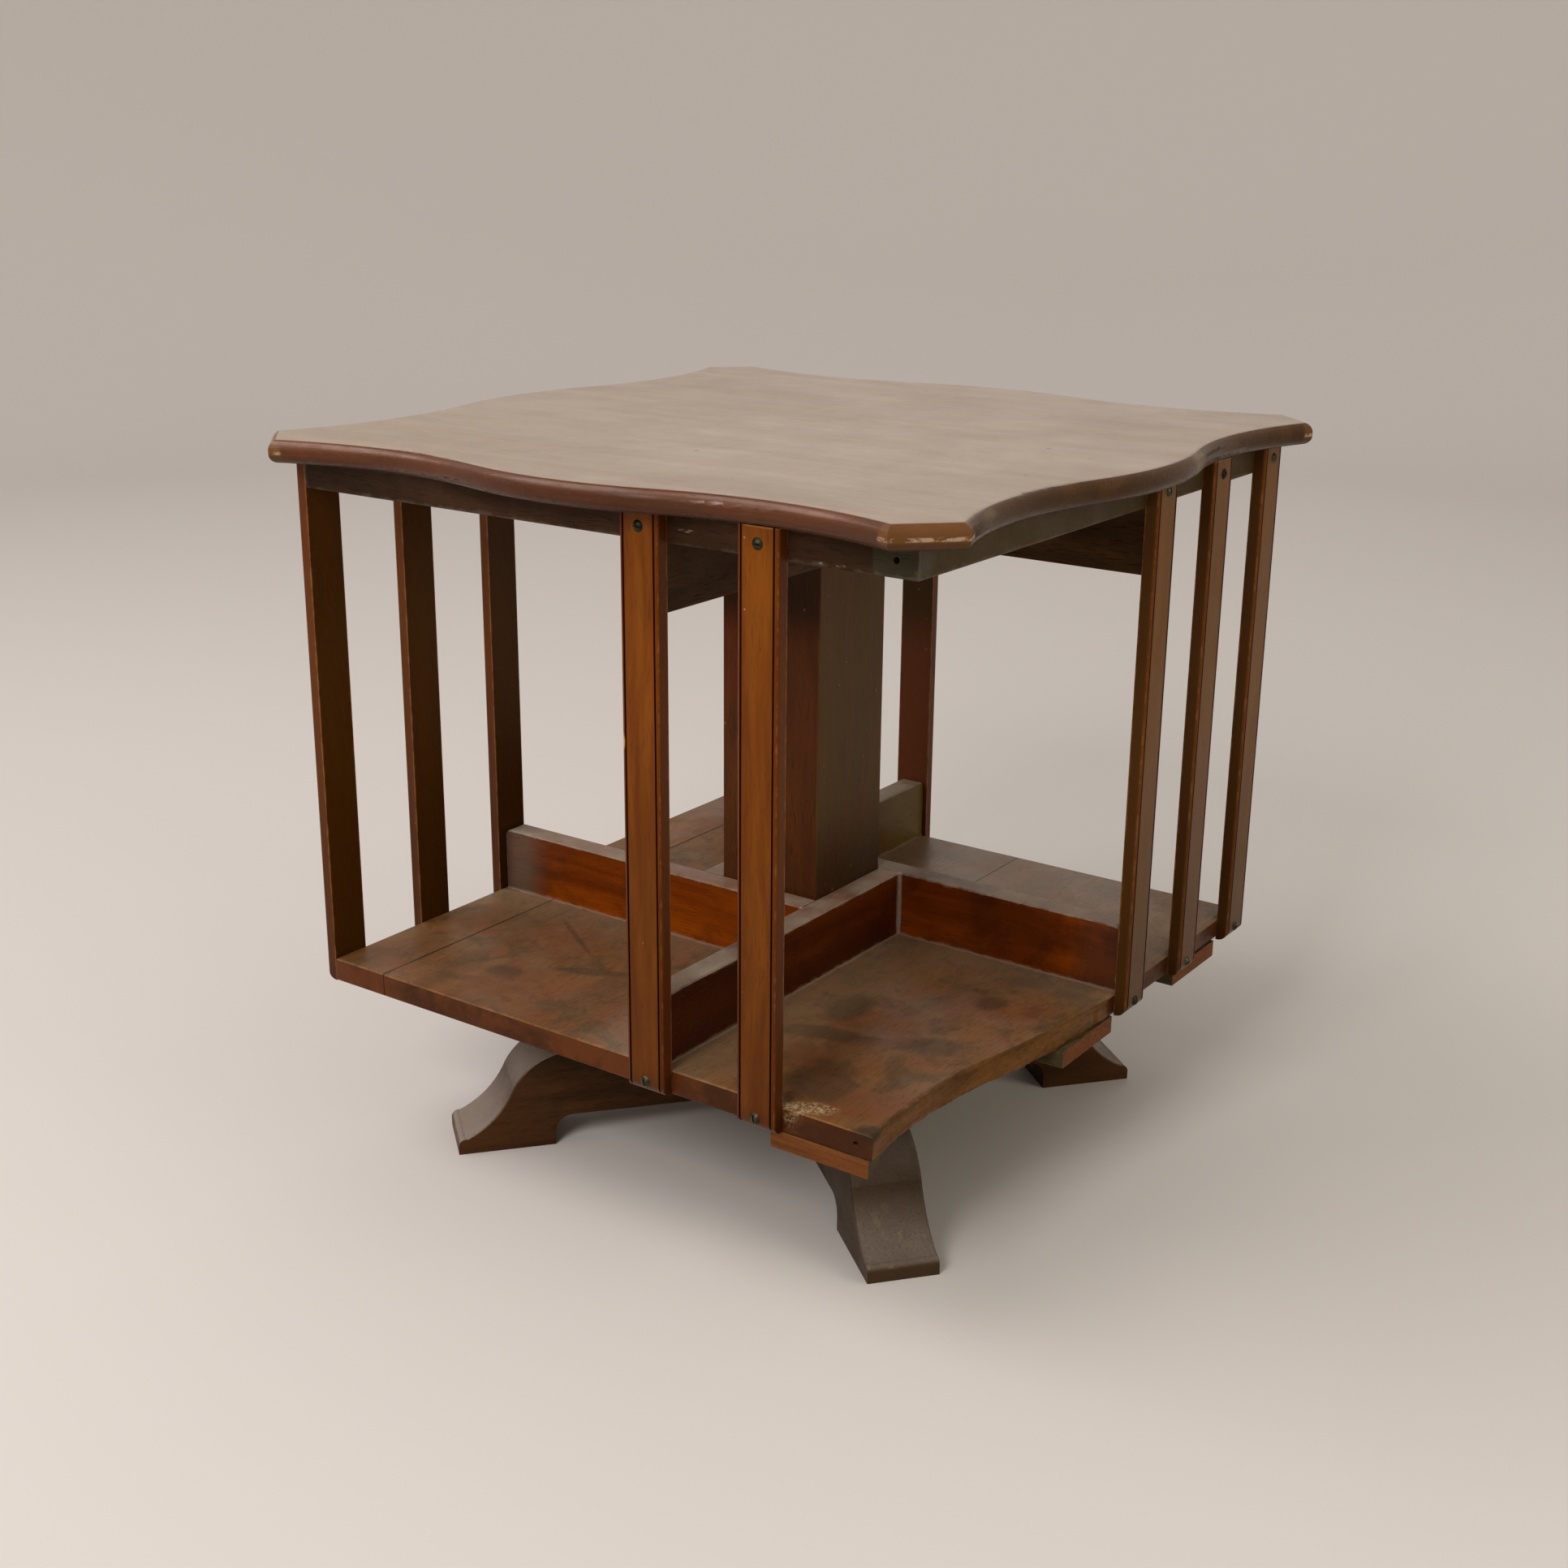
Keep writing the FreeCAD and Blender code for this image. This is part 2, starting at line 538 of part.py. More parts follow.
# ---- slats ----
def slat_section():
    """Plan of a slat at the left side: a bead down each outer corner, set off by a quirk."""
    inner, outer, wide = -HALF, -HALF - SLAT_THICK, SLAT_WIDE / 2
    bead = wide - SLAT_BEAD
    flat, bed = bead - QUIRK_WIDE, outer + QUIRK_DEEP
    reach = SLAT_BEAD * (1 - math.cos(math.pi / 4))
    edges = [line(Vector(x, -half, 0), Vector(x, half, 0)) for x, half in ((inner, wide), (outer, flat))]
    for side in (1, -1):
        shoulder, crown = Vector(outer + SLAT_BEAD, side * wide, 0), Vector(outer, side * bead, 0)
        middle = Vector(outer + reach, side * (wide - reach), 0)
        quirk = [crown, Vector(bed, side * bead, 0), Vector(bed, side * flat, 0), Vector(outer, side * flat, 0)]
        edges += [line(Vector(inner, side * wide, 0), shoulder), arc(shoulder, middle, crown)]
        edges += [line(start, end) for start, end in zip(quirk[:-1], quirk[1:])]
    return Part.Face(closed_wire(edges))


def slat_end_view():
    """Side view of a slat at the left side: the lower outer edge is rounded over."""
    inner, outer = -HALF, -HALF - SLAT_THICK
    reach = SLAT_END_ROUND * (1 - math.cos(math.pi / 4))
    foot = Vector(outer + SLAT_END_ROUND, 0, SHELF_Z)
    middle = Vector(outer + reach, 0, SHELF_Z + reach)
    face = Vector(outer, 0, SHELF_Z + SLAT_END_ROUND)
    top_out, top_in, low_in = Vector(outer, 0, TOP_Z), Vector(inner, 0, TOP_Z), Vector(inner, 0, SHELF_Z)
    return closed_wire([arc(foot, middle, face), line(face, top_out), line(top_out, top_in),
                        line(top_in, low_in), line(low_in, foot)])


def slat_screw_hole(y, height):
    start = Vector(-HALF - SLAT_THICK - 1, y, height)
    return Part.makeCylinder(SLAT_SCREW_SHANK + SEAT_GAP, SLAT_SCREW_LENGTH + 1, start, Vector(1, 0, 0))


def slat_screw(y, height):
    """Round-headed screw through a slat at the left side."""
    curve = (SLAT_SCREW_HEAD ** 2 + SLAT_SCREW_DOME ** 2) / (2 * SLAT_SCREW_DOME)
    tilt = math.asin(SLAT_SCREW_HEAD / curve) / 2
    crown, rim = Vector(0, 0, SLAT_SCREW_DOME), Vector(SLAT_SCREW_HEAD, 0, 0)
    middle = Vector(curve * math.sin(tilt), 0, SLAT_SCREW_DOME - curve * (1 - math.cos(tilt)))
    neck, point = Vector(SLAT_SCREW_SHANK, 0, 0), Vector(SLAT_SCREW_SHANK, 0, -SLAT_SCREW_LENGTH)
    end = Vector(0, 0, -SLAT_SCREW_LENGTH)
    outline = closed_wire([arc(crown, middle, rim), line(rim, neck), line(neck, point), line(point, end),
                           line(end, crown)])
    screw = Part.Face(outline).revolve(ORIGIN, Z_AXIS, 360)
    screw.rotate(ORIGIN, Vector(0, 1, 0), -90)
    return moved(screw, -HALF - SLAT_THICK, y, height)


def slats():
    """Moulded slats screwed to the edges of both boards, and all their screws in one group."""
    slat = slat_section().extrude(Vector(0, 0, TOP_Z))
    end_view = Part.Face(slat_end_view()).extrude(Vector(0, SLAT_WIDE, 0))
    slat = slat.common(moved(end_view, 0, -SLAT_WIDE / 2, 0))
    slat = slat.cut([slat_screw_hole(0, height) for height in SLAT_SCREW_HEIGHTS])
    pieces, screws = {}, []
    for turn, side in enumerate(SIDES):
        for place, y in SLAT_CENTRES.items():
            if (side, place) == LOST_SLAT:
                continue
            pieces["slat_%s_%s" % (side, place)] = turned(moved(slat, 0, y, 0), 90 * turn)
            screws += [turned(slat_screw(y, height), 90 * turn) for height in SLAT_SCREW_HEIGHTS]
    pieces["slat_screws"] = Part.makeCompound(screws)
    return pieces


# ---- whole object ----
def bookcase():
    pieces = {}
    pieces.update(base_beams())
    pieces["base_boss"] = base_boss()
    pieces["spindle"] = spindle()
    pieces.update(base_fasteners())
    pieces["hub"] = hub()
    pieces["hub_screws"] = Part.makeCompound(hub_screws())
    pieces["top_block"] = top_block()
    pieces["spindle_cup"] = spindle_cup()
    pieces.update(bearers())
    pieces.update(shelf_planks())
    pieces.update(column_panels())
    pieces.update(rails())
    pieces["under_board"] = under_board()
    pieces["top_board"] = top_board()
    pieces["top_screws"] = Part.makeCompound(top_screws())
    pieces.update(slats())
    return pieces


os.makedirs("parts", exist_ok=True)
for name, shape in bookcase().items():
    shape.exportStep("parts/%s.step" % name)
    print("%-22s %d solid(s) %9.1f mm3" % (name, len(shape.Solids), shape.Volume))
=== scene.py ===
import math
import random

import bmesh
import bpy
from mathutils import Matrix, Vector
from mathutils.noise import noise as noise_at


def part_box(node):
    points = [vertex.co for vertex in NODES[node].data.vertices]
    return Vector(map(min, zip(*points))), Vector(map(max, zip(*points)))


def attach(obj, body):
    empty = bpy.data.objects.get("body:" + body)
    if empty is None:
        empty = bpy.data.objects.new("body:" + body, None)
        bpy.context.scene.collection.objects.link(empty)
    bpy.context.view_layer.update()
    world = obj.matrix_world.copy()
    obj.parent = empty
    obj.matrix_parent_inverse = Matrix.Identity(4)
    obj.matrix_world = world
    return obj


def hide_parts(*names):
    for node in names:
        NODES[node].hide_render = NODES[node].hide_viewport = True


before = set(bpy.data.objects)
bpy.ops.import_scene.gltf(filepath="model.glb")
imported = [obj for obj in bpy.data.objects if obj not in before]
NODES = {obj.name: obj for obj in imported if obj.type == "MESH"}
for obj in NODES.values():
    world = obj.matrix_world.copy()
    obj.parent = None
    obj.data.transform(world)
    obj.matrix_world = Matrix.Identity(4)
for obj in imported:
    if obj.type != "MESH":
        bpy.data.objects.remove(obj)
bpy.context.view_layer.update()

scene = bpy.context.scene

# ---- camera ----
# A normal lens at table height, looking down on the front corner of the carousel from its right.
CAMERA_PLACE = (0.6182, -0.8978, 0.5519)
CAMERA_ROUND = math.radians(35.09)
CAMERA_DOWN = math.radians(18.04)
CAMERA_ROLL = math.radians(0.52)
LENS_MM = 46.86

camera_data = bpy.data.cameras.new("camera")
camera_data.lens = LENS_MM
camera_data.sensor_fit = "HORIZONTAL"
camera_data.clip_end = 30
camera = bpy.data.objects.new("camera", camera_data)
camera.matrix_world = (Matrix.Translation(CAMERA_PLACE)
                       @ Matrix.Rotation(CAMERA_ROUND, 4, "Z")
                       @ Matrix.Rotation(math.pi / 2 - CAMERA_DOWN, 4, "X")
                       @ Matrix.Rotation(CAMERA_ROLL, 4, "Z"))
scene.collection.objects.link(camera)
scene.camera = camera

# ---- studio ----
# A round pale sweep that curves up into a backdrop on every side. A soft key lamp stands before the front
# side, with a broad one high on the front left and two weak ones, yellowish to the right and white behind.
SWEEP_FLAT = 2.4
SWEEP_CURVE = 0.9
SWEEP_RIM = 1.1
SWEEP_STEPS = 12
SWEEP_TURNS = 96
SWEEP_COLOUR = (0.70, 0.65, 0.61)
SWEEP_ROUGHNESS = 0.9
SWEEP_SHINE = 0.1
WORLD_COLOUR = (1.0, 0.985, 0.97, 1)
WORLD_LIGHT = 0.41
AIM = Vector((0, 0, 0.2))
LAMPS = {                   # place, size, watts and colour
    "lamp_front": ((0.19, -2.17, 1.62), 0.9, 30, (1.0, 0.965, 0.95)),
    "lamp_right": ((2.3, 0.35, 1.1), 1.1, 11, (1.0, 0.97, 0.74)),
    "lamp_back": ((-1.0, 2.1, 1.5), 1.4, 3, (1.0, 0.98, 0.97)),
    "lamp_left": ((-1.3, -1.0, 2.1), 1.6, 27, (1.0, 0.975, 0.96)),
}


def link_mesh(name, bm):
    """Make an object at the origin from a finished bmesh."""
    mesh = bpy.data.meshes.new(name)
    bm.to_mesh(mesh)
    bm.free()
    piece = bpy.data.objects.new(name, mesh)
    scene.collection.objects.link(piece)
    return piece


bm = bmesh.new()
path = [bm.verts.new((0, 0, 0)), bm.verts.new((SWEEP_FLAT, 0, 0))]
for step in range(1, SWEEP_STEPS + 1):
    angle = math.pi / 2 * step / SWEEP_STEPS
    out, up = SWEEP_CURVE * math.sin(angle), SWEEP_CURVE * (1 - math.cos(angle))
    path.append(bm.verts.new((SWEEP_FLAT + out, 0, up)))
path.append(bm.verts.new((SWEEP_FLAT + SWEEP_CURVE, 0, SWEEP_CURVE + SWEEP_RIM)))
edges = [bm.edges.new(pair) for pair in zip(path[:-1], path[1:])]
bmesh.ops.spin(bm, geom=path + edges, cent=(0, 0, 0), axis=(0, 0, 1), angle=2 * math.pi, steps=SWEEP_TURNS,
               use_merge=True)
bmesh.ops.remove_doubles(bm, verts=bm.verts, dist=1e-5)
bmesh.ops.recalc_face_normals(bm, faces=bm.faces)
for face in bm.faces:
    face.smooth = True
sweep = link_mesh("studio_sweep", bm)
sweep_paint = bpy.data.materials.new("studio_sweep")
sweep_paint.use_nodes = True
paint = sweep_paint.node_tree.nodes["Principled BSDF"]
paint.inputs["Base Color"].default_value = (*SWEEP_COLOUR, 1)
paint.inputs["Roughness"].default_value = SWEEP_ROUGHNESS
paint.inputs["Specular IOR Level"].default_value = SWEEP_SHINE
sweep.data.materials.append(sweep_paint)

world = bpy.data.worlds.new("studio")
world.use_nodes = True
sky = world.node_tree.nodes["Background"]
sky.inputs["Color"].default_value = WORLD_COLOUR
sky.inputs["Strength"].default_value = WORLD_LIGHT
scene.world = world
scene.view_settings.view_transform = "Standard"

for name, (place, size, watts, colour) in LAMPS.items():
    lamp_data = bpy.data.lights.new(name, "AREA")
    lamp_data.size = size
    lamp_data.energy = watts
    lamp_data.color = colour
    lamp = bpy.data.objects.new(name, lamp_data)
    lamp.location = place
    lamp.rotation_euler = (AIM - Vector(place)).to_track_quat("-Z", "Y").to_euler()
    scene.collection.objects.link(lamp)

# ---- moulded top ----
# One broad mahogany board with a serpentine edge, rounded above and below and polished red-brown.
# Years of use have dulled the flat of it to a dusty beige, and the polish is chipped at the corners. Painted
# shade darkens the nose low down, and painted highlights lie in pale marks along its front and on the canted
# corners.


def srgb(red, green, blue):
    """Colour given as it looks on a screen, 0 to 255, as the linear values that a shader wants."""
    def linear(value):
        value /= 255
        return value / 12.92 if value <= 0.04045 else ((value + 0.055) / 1.055) ** 2.4
    return (linear(red), linear(green), linear(blue), 1.0)


TOP_FLAT = srgb(173, 157, 142)
TOP_FLAT_DARK = srgb(165, 147, 131)
TOP_SPECK = srgb(96, 76, 60)
TOP_NOSE = srgb(108, 60, 32)
TOP_NOSE_DARK = srgb(84, 42, 22)
TOP_NOSE_DULL_AND_HIGHLIGHT = srgb(90, 57, 41)
TOP_RIM = srgb(140, 110, 84)
TOP_COAT = 0.6              # how much of the nose's clear polish is left
TOP_COAT_ROUGHNESS = 0.32
TOP_END_GRAIN = srgb(86, 56, 27)
TOP_END_DARK = srgb(66, 42, 18)
TOP_END_PALE = srgb(124, 102, 72)
TOP_CANT = srgb(110, 72, 36)
TOP_CHIP_AND_HIGHLIGHT = srgb(168, 144, 118)
TOP_CANT_PAINTED_SHADE = srgb(58, 38, 22)
TOP_UNDER = srgb(62, 46, 36)
TOP_UNDER_DARK = srgb(47, 34, 26)
TOP_CANT_FROM = 0.385       # |x| + |y| past which the nose belongs to a canted corner
TOP_FLAKE_HIGHLIGHT_Z = 0.3905        # height of the pale line on the canted corners, flaked polish and painted highlight
TOP_FLAKE_HIGHLIGHT_HALF = 0.0006     # half as wide as that line
TOP_DULL_AND_HIGHLIGHT_MARKS = [          # centre and reach of where the front nose is rubbed to a dull pink-brown, which also serves as a painted highlight
    ((-0.045, -0.207, 0.3935), (0.085, 0.014, 0.0022)),
    ((0.165, -0.207, 0.391), (0.040, 0.014, 0.010)),
    ((0.074, -0.205, 0.391), (0.024, 0.014, 0.010)),
]
TOP_PALE_MARKS = [          # where the polish has gone from the right-hand nose
    ((0.206, 0.048, 0.391), (0.014, 0.018, 0.010)),
    ((0.206, -0.150, 0.3945), (0.014, 0.014, 0.004)),
]
WOOD_TINT = (1.0, 0.62, 0.34, 1.0)      # of the light that old varnish and stain throw back
WOOD_SHINE = 0.18
GRAIN_ALONG = {"X": (0, 0, 0), "Y": (0, 0, -math.pi / 2), "Z": (0, math.pi / 2, 0)}


def feed(tree, node, inputs):
    """Link each input to the socket given for it, or set it to the value."""
    for key, value in inputs.items():
        if isinstance(value, bpy.types.NodeSocket):
            tree.links.new(value, node.inputs[key])
        else:
            node.inputs[key].default_value = value


def put(tree, kind, settings=None, inputs=None):
    """Add a node with its own settings, and feed its inputs."""
    made = tree.nodes.new(kind)
    for key, value in (settings or {}).items():
        setattr(made, key, value)
    feed(tree, made, inputs or {})
    return made


def calc(tree, operation, a, b=0.0, c=0.0, clamp=False):
    made = put(tree, "ShaderNodeMath", {"operation": operation, "use_clamp": clamp}, {0: a, 1: b, 2: c})
    return made.outputs[0]


def both(tree, *masks):
    """Product of masks: where all of them hold."""
    result = masks[0]
    for mask in masks[1:]:
        result = calc(tree, "MULTIPLY", result, mask)
    return result


def vector_calc(tree, operation, *inputs):
    made = put(tree, "ShaderNodeVectorMath", {"operation": operation}, dict(enumerate(inputs)))
    return made.outputs["Value" if operation in ("LENGTH", "DOT_PRODUCT") else "Vector"]


def shaded(tree, colour, factor):
    """The colour made darker or lighter by a factor that may change over the surface."""
    return put(tree, "ShaderNodeVectorMath", {"operation": "SCALE"}, {0: colour, "Scale": factor}).outputs[0]


def split(tree, vector):
    return put(tree, "ShaderNodeSeparateXYZ", None, {0: vector}).outputs


def ramp(tree, value, low, high, to_low=0.0, to_high=1.0):
    """Smooth step from to_low to to_high as value goes from low to high; low may be the larger one."""
    if low > high:
        low, high, to_low, to_high = high, low, to_high, to_low
    return put(tree, "ShaderNodeMapRange", {"interpolation_type": "SMOOTHSTEP"},
               {"Value": value, "From Min": low, "From Max": high, "To Min": to_low,
                "To Max": to_high}).outputs["Result"]


def band(tree, value, low, high, soft):
    """Mask that is 1 between low and high and fades out past them."""
    return both(tree, ramp(tree, value, low - soft, low), ramp(tree, value, high + soft, high))


def mix(tree, factor, a, b):
    return put(tree, "ShaderNodeMix", {"data_type": "RGBA"}, {0: factor, 6: a, 7: b}).outputs[2]


def lay(tree, stain, share, mask, colour):
    """The colour with that share of another colour over it, where the mask says: a stain, dirt or wear, or
    painted shade.
    """
    return mix(tree, calc(tree, "MULTIPLY", mask, share), colour, stain)


def noise(tree, vector, scale, detail=3.0, rough=0.55, warp=0.0):
    return put(tree, "ShaderNodeTexNoise", None,
               {"Vector": vector, "Scale": scale, "Detail": detail, "Roughness": rough,
                "Distortion": warp}).outputs["Fac"]


def stretched(tree, vector, *scale):
    return vector_calc(tree, "MULTIPLY", vector, scale)


def new_group(name, takes, gives):
    """Start a node group; takes and gives list its sockets as (label, type, default)."""
    tree = bpy.data.node_groups.new(name, "ShaderNodeTree")
    for label, kind, default in takes:
        socket = tree.interface.new_socket(label, in_out="INPUT", socket_type="NodeSocket" + kind)
        if default is not None:
            socket.default_value = default
    for label, kind in gives:
        tree.interface.new_socket(label, in_out="OUTPUT", socket_type="NodeSocket" + kind)
    return tree, tree.nodes.new("NodeGroupInput").outputs, tree.nodes.new("NodeGroupOutput").inputs


def use(tree, group, **inputs):
    """Place a group; an input's name is written with its spaces as underscores."""
    return put(tree, "ShaderNodeGroup", {"node_tree": group},
               {key.replace("_", " "): value for key, value in inputs.items()}).outputs


# grain: long streaks, fine fibres and dark open pores, all running along X
grain, takes, gives = new_group(
    "grain",
    [("Vector", "Vector", None), ("Pale", "Color", None), ("Dark", "Color", None),
     ("Streaks", "Float", 150.0), ("Fibre", "Float", 0.3), ("Pores", "Float", 0.4)],
    [("Color", "Color"), ("Height", "Float")])
drift = put(grain, "ShaderNodeTexNoise", None, {"Vector": takes["Vector"], "Scale": 7.0, "Detail": 1.0})
wander = vector_calc(grain, "MULTIPLY_ADD", drift.outputs["Color"], (0.0, 0.02, 0.02), takes["Vector"])
streak = noise(grain, stretched(grain, wander, 0.08, 1, 1), takes["Streaks"], 5, 0.6)
streak = ramp(grain, streak, 0.28, 0.72)
fibre = noise(grain, stretched(grain, wander, 0.04, 1, 1), 1100.0, 2)
pore = ramp(grain, noise(grain, stretched(grain, wander, 0.07, 1, 1), 1500.0, 1), 0.60, 0.72)
light = calc(grain, "MULTIPLY_ADD", calc(grain, "SUBTRACT", fibre, 0.5), takes["Fibre"], 1.0)
light = calc(grain, "SUBTRACT", light, calc(grain, "MULTIPLY", pore, takes["Pores"]))
colour = mix(grain, streak, takes["Dark"], takes["Pale"])
grain.links.new(shaded(grain, colour, light), gives["Color"])
height = calc(grain, "MULTIPLY_ADD", streak, 0.4, calc(grain, "MULTIPLY", fibre, 0.5))
grain.links.new(calc(grain, "SUBTRACT", height, pore), gives["Height"])

# rubs: uneven patches where the polish has thinned, and a few long thin scratches
rubs, takes, gives = new_group(
    "rubs",
    [("Vector", "Vector", None), ("Patches", "Float", 18.0), ("Scratches", "Float", 1.0)],
    [("Patch", "Float"), ("Scratch", "Float")])
patch = noise(rubs, takes["Vector"], takes["Patches"], 5, 0.62, 0.4)
rubs.links.new(ramp(rubs, patch, 0.35, 0.68), gives["Patch"])
lines = None
for turn, scale in (((0.3, 0.2, 0.5), 9.0), ((1.1, 0.7, -0.6), 13.0)):
    turned = put(rubs, "ShaderNodeMapping", None,
                 {"Vector": takes["Vector"], "Rotation": turn, "Scale": (1, 5, 5)})
    ridge = noise(rubs, turned.outputs[0], scale, 2, 0.4)
    ridge = ramp(rubs, calc(rubs, "ABSOLUTE", calc(rubs, "SUBTRACT", ridge, 0.5)), 0.006, 0.0)
    lines = ridge if lines is None else calc(rubs, "MAXIMUM", lines, ridge)
some = ramp(rubs, noise(rubs, takes["Vector"], 31.0, 2), 0.52, 0.62)
rubs.links.new(both(rubs, lines, some, takes["Scratches"]), gives["Scratch"])

# flecks: small scattered dots; Share is how many of the places have one
flecks, takes, gives = new_group(
    "flecks",
    [("Vector", "Vector", None), ("Scale", "Float", 60.0), ("Size", "Float", 0.12), ("Share", "Float", 0.3)],
    [("Mask", "Float")])
cells = put(flecks, "ShaderNodeTexVoronoi", None, {"Vector": takes["Vector"], "Scale": takes["Scale"]})
ragged = calc(flecks, "MULTIPLY_ADD", noise(flecks, takes["Vector"], 700.0, 3), 0.16,
              calc(flecks, "SUBTRACT", cells.outputs["Distance"], 0.08))
dot = ramp(flecks, calc(flecks, "DIVIDE", ragged, takes["Size"]), 1.0, 0.6)
chosen = calc(flecks, "LESS_THAN", split(flecks, cells.outputs["Color"])["X"], takes["Share"])
flecks.links.new(both(flecks, dot, chosen), gives["Mask"])

# spot: a soft ragged patch round the middle of a vector that is already centred and scaled
spot, takes, gives = new_group(
    "spot",
    [("Vector", "Vector", None), ("Place", "Vector", None), ("Ragged", "Float", 0.7)],
    [("Mask", "Float")])
distance = vector_calc(spot, "LENGTH", takes["Vector"])
blur = calc(spot, "SUBTRACT", noise(spot, takes["Place"], 70.0, 5, 0.65), 0.5)
distance = calc(spot, "MULTIPLY_ADD", blur, takes["Ragged"], distance)
spot.links.new(ramp(spot, distance, 1.05, 0.45), gives["Mask"])

# dust: a pale film on what faces up, thicker in patches and wherever Extra says
dust, takes, gives = new_group(
    "dust",
    [("Vector", "Vector", None), ("Color", "Color", None), ("Dust", "Color", srgb(168, 154, 140)),
     ("Amount", "Float", 0.5), ("Extra", "Float", 0.0), ("Patches", "Float", 22.0)],
    [("Color", "Color"), ("Mask", "Float")])
facing = ramp(dust, split(dust, put(dust, "ShaderNodeNewGeometry").outputs["Normal"])["Z"], 0.35, 0.95)
patch = ramp(dust, noise(dust, takes["Vector"], takes["Patches"], 4, 0.6), 0.3, 0.72, 0.35, 1.1)
speck = ramp(dust, noise(dust, takes["Vector"], 900.0, 2), 0.3, 0.7, 0.8, 1.08)
film = both(dust, patch, speck, takes["Amount"], facing)
film = calc(dust, "MULTIPLY_ADD", takes["Extra"], speck, film, clamp=True)
dust.links.new(mix(dust, film, takes["Color"], takes["Dust"]), gives["Color"])
dust.links.new(film, gives["Mask"])

# arris: the outer few millimetres along the edges of a squared piece, with a ragged limit
arris, takes, gives = new_group(
    "arris",
    [("Vector", "Vector", None), ("Low", "Vector", None), ("High", "Vector", None),
     ("Reach", "Float", 0.002)],
    [("Mask", "Float")])
near = vector_calc(arris, "MINIMUM", vector_calc(arris, "SUBTRACT", takes["Vector"], takes["Low"]),
                   vector_calc(arris, "SUBTRACT", takes["High"], takes["Vector"]))
x, y, z = split(arris, near)
middle = calc(arris, "MAXIMUM", calc(arris, "MINIMUM", x, y),
              calc(arris, "MINIMUM", calc(arris, "MAXIMUM", x, y), z))
ragged = ramp(arris, noise(arris, takes["Vector"], 120.0, 4, 0.65), 0.3, 0.72, 0.15, 2.0)
reach = calc(arris, "MULTIPLY", takes["Reach"], ragged)
mask = calc(arris, "SUBTRACT", 1.0, calc(arris, "DIVIDE", middle, reach), clamp=True)
arris.links.new(mask, gives["Mask"])


def start_finish(name, lie, seed):
    """A material with its object coordinates, and the same turned so that the grain runs along X."""
    material = bpy.data.materials.new(name)
    material.use_nodes = True
    tree = material.node_tree
    shader = tree.nodes["Principled BSDF"]
    feed(tree, shader, {"Specular Tint": WOOD_TINT, "Specular IOR Level": WOOD_SHINE})
    coordinates = put(tree, "ShaderNodeTexCoord").outputs
    shift = (seed * 1.7, seed * 2.3, seed * 0.9)
    board = put(tree, "ShaderNodeMapping", None,
                {"Vector": coordinates["Object"], "Rotation": GRAIN_ALONG[lie], "Location": shift})
    return material, tree, shader, coordinates["Object"], coordinates["Normal"], board.outputs[0]


def mark(tree, place, centre, reach, turn=0.0, ragged=0.7):
    """Soft spot at that centre, as far across as reach, turned about the vertical."""
    fitted = put(tree, "ShaderNodeMapping", {"vector_type": "TEXTURE"},
                 {"Vector": place, "Location": centre, "Rotation": (0, 0, turn), "Scale": reach})
    return use(tree, spot, Vector=fitted.outputs[0], Place=place, Ragged=ragged)["Mask"]


def marks(tree, place, rows):
    """All of those spots in one mask."""
    result = mark(tree, place, *rows[0])
    for row in rows[1:]:
        result = calc(tree, "MAXIMUM", result, mark(tree, place, *row))
    return result


def patchy(tree, wear, least, most):
    """From least to most, with the patches of the rub wear."""
    return ramp(tree, wear["Patch"], 0, 1, least, most)


def arris_wear(tree, place, low, high, reach):
    return use(tree, arris, Vector=place, Low=low, High=high, Reach=reach)["Mask"]


def roughened(tree, rough, level, mask):
    """Roughness raised to that level where the mask says."""
    return calc(tree, "MAXIMUM", rough, calc(tree, "MULTIPLY", mask, level))


def close_finish(tree, shader, height, depth, **inputs):
    """Give the shader its inputs, named as for use(), and a relief that is that many metres deep."""
    relief = put(tree, "ShaderNodeBump", None, {"Height": height, "Distance": depth})
    feed(tree, shader, {key.replace("_", " "): value for key, value in inputs.items()})
    tree.links.new(relief.outputs["Normal"], shader.inputs["Normal"])


def dress(node_name, finish):
    NODES[node_name].material_slots[0].material = finish


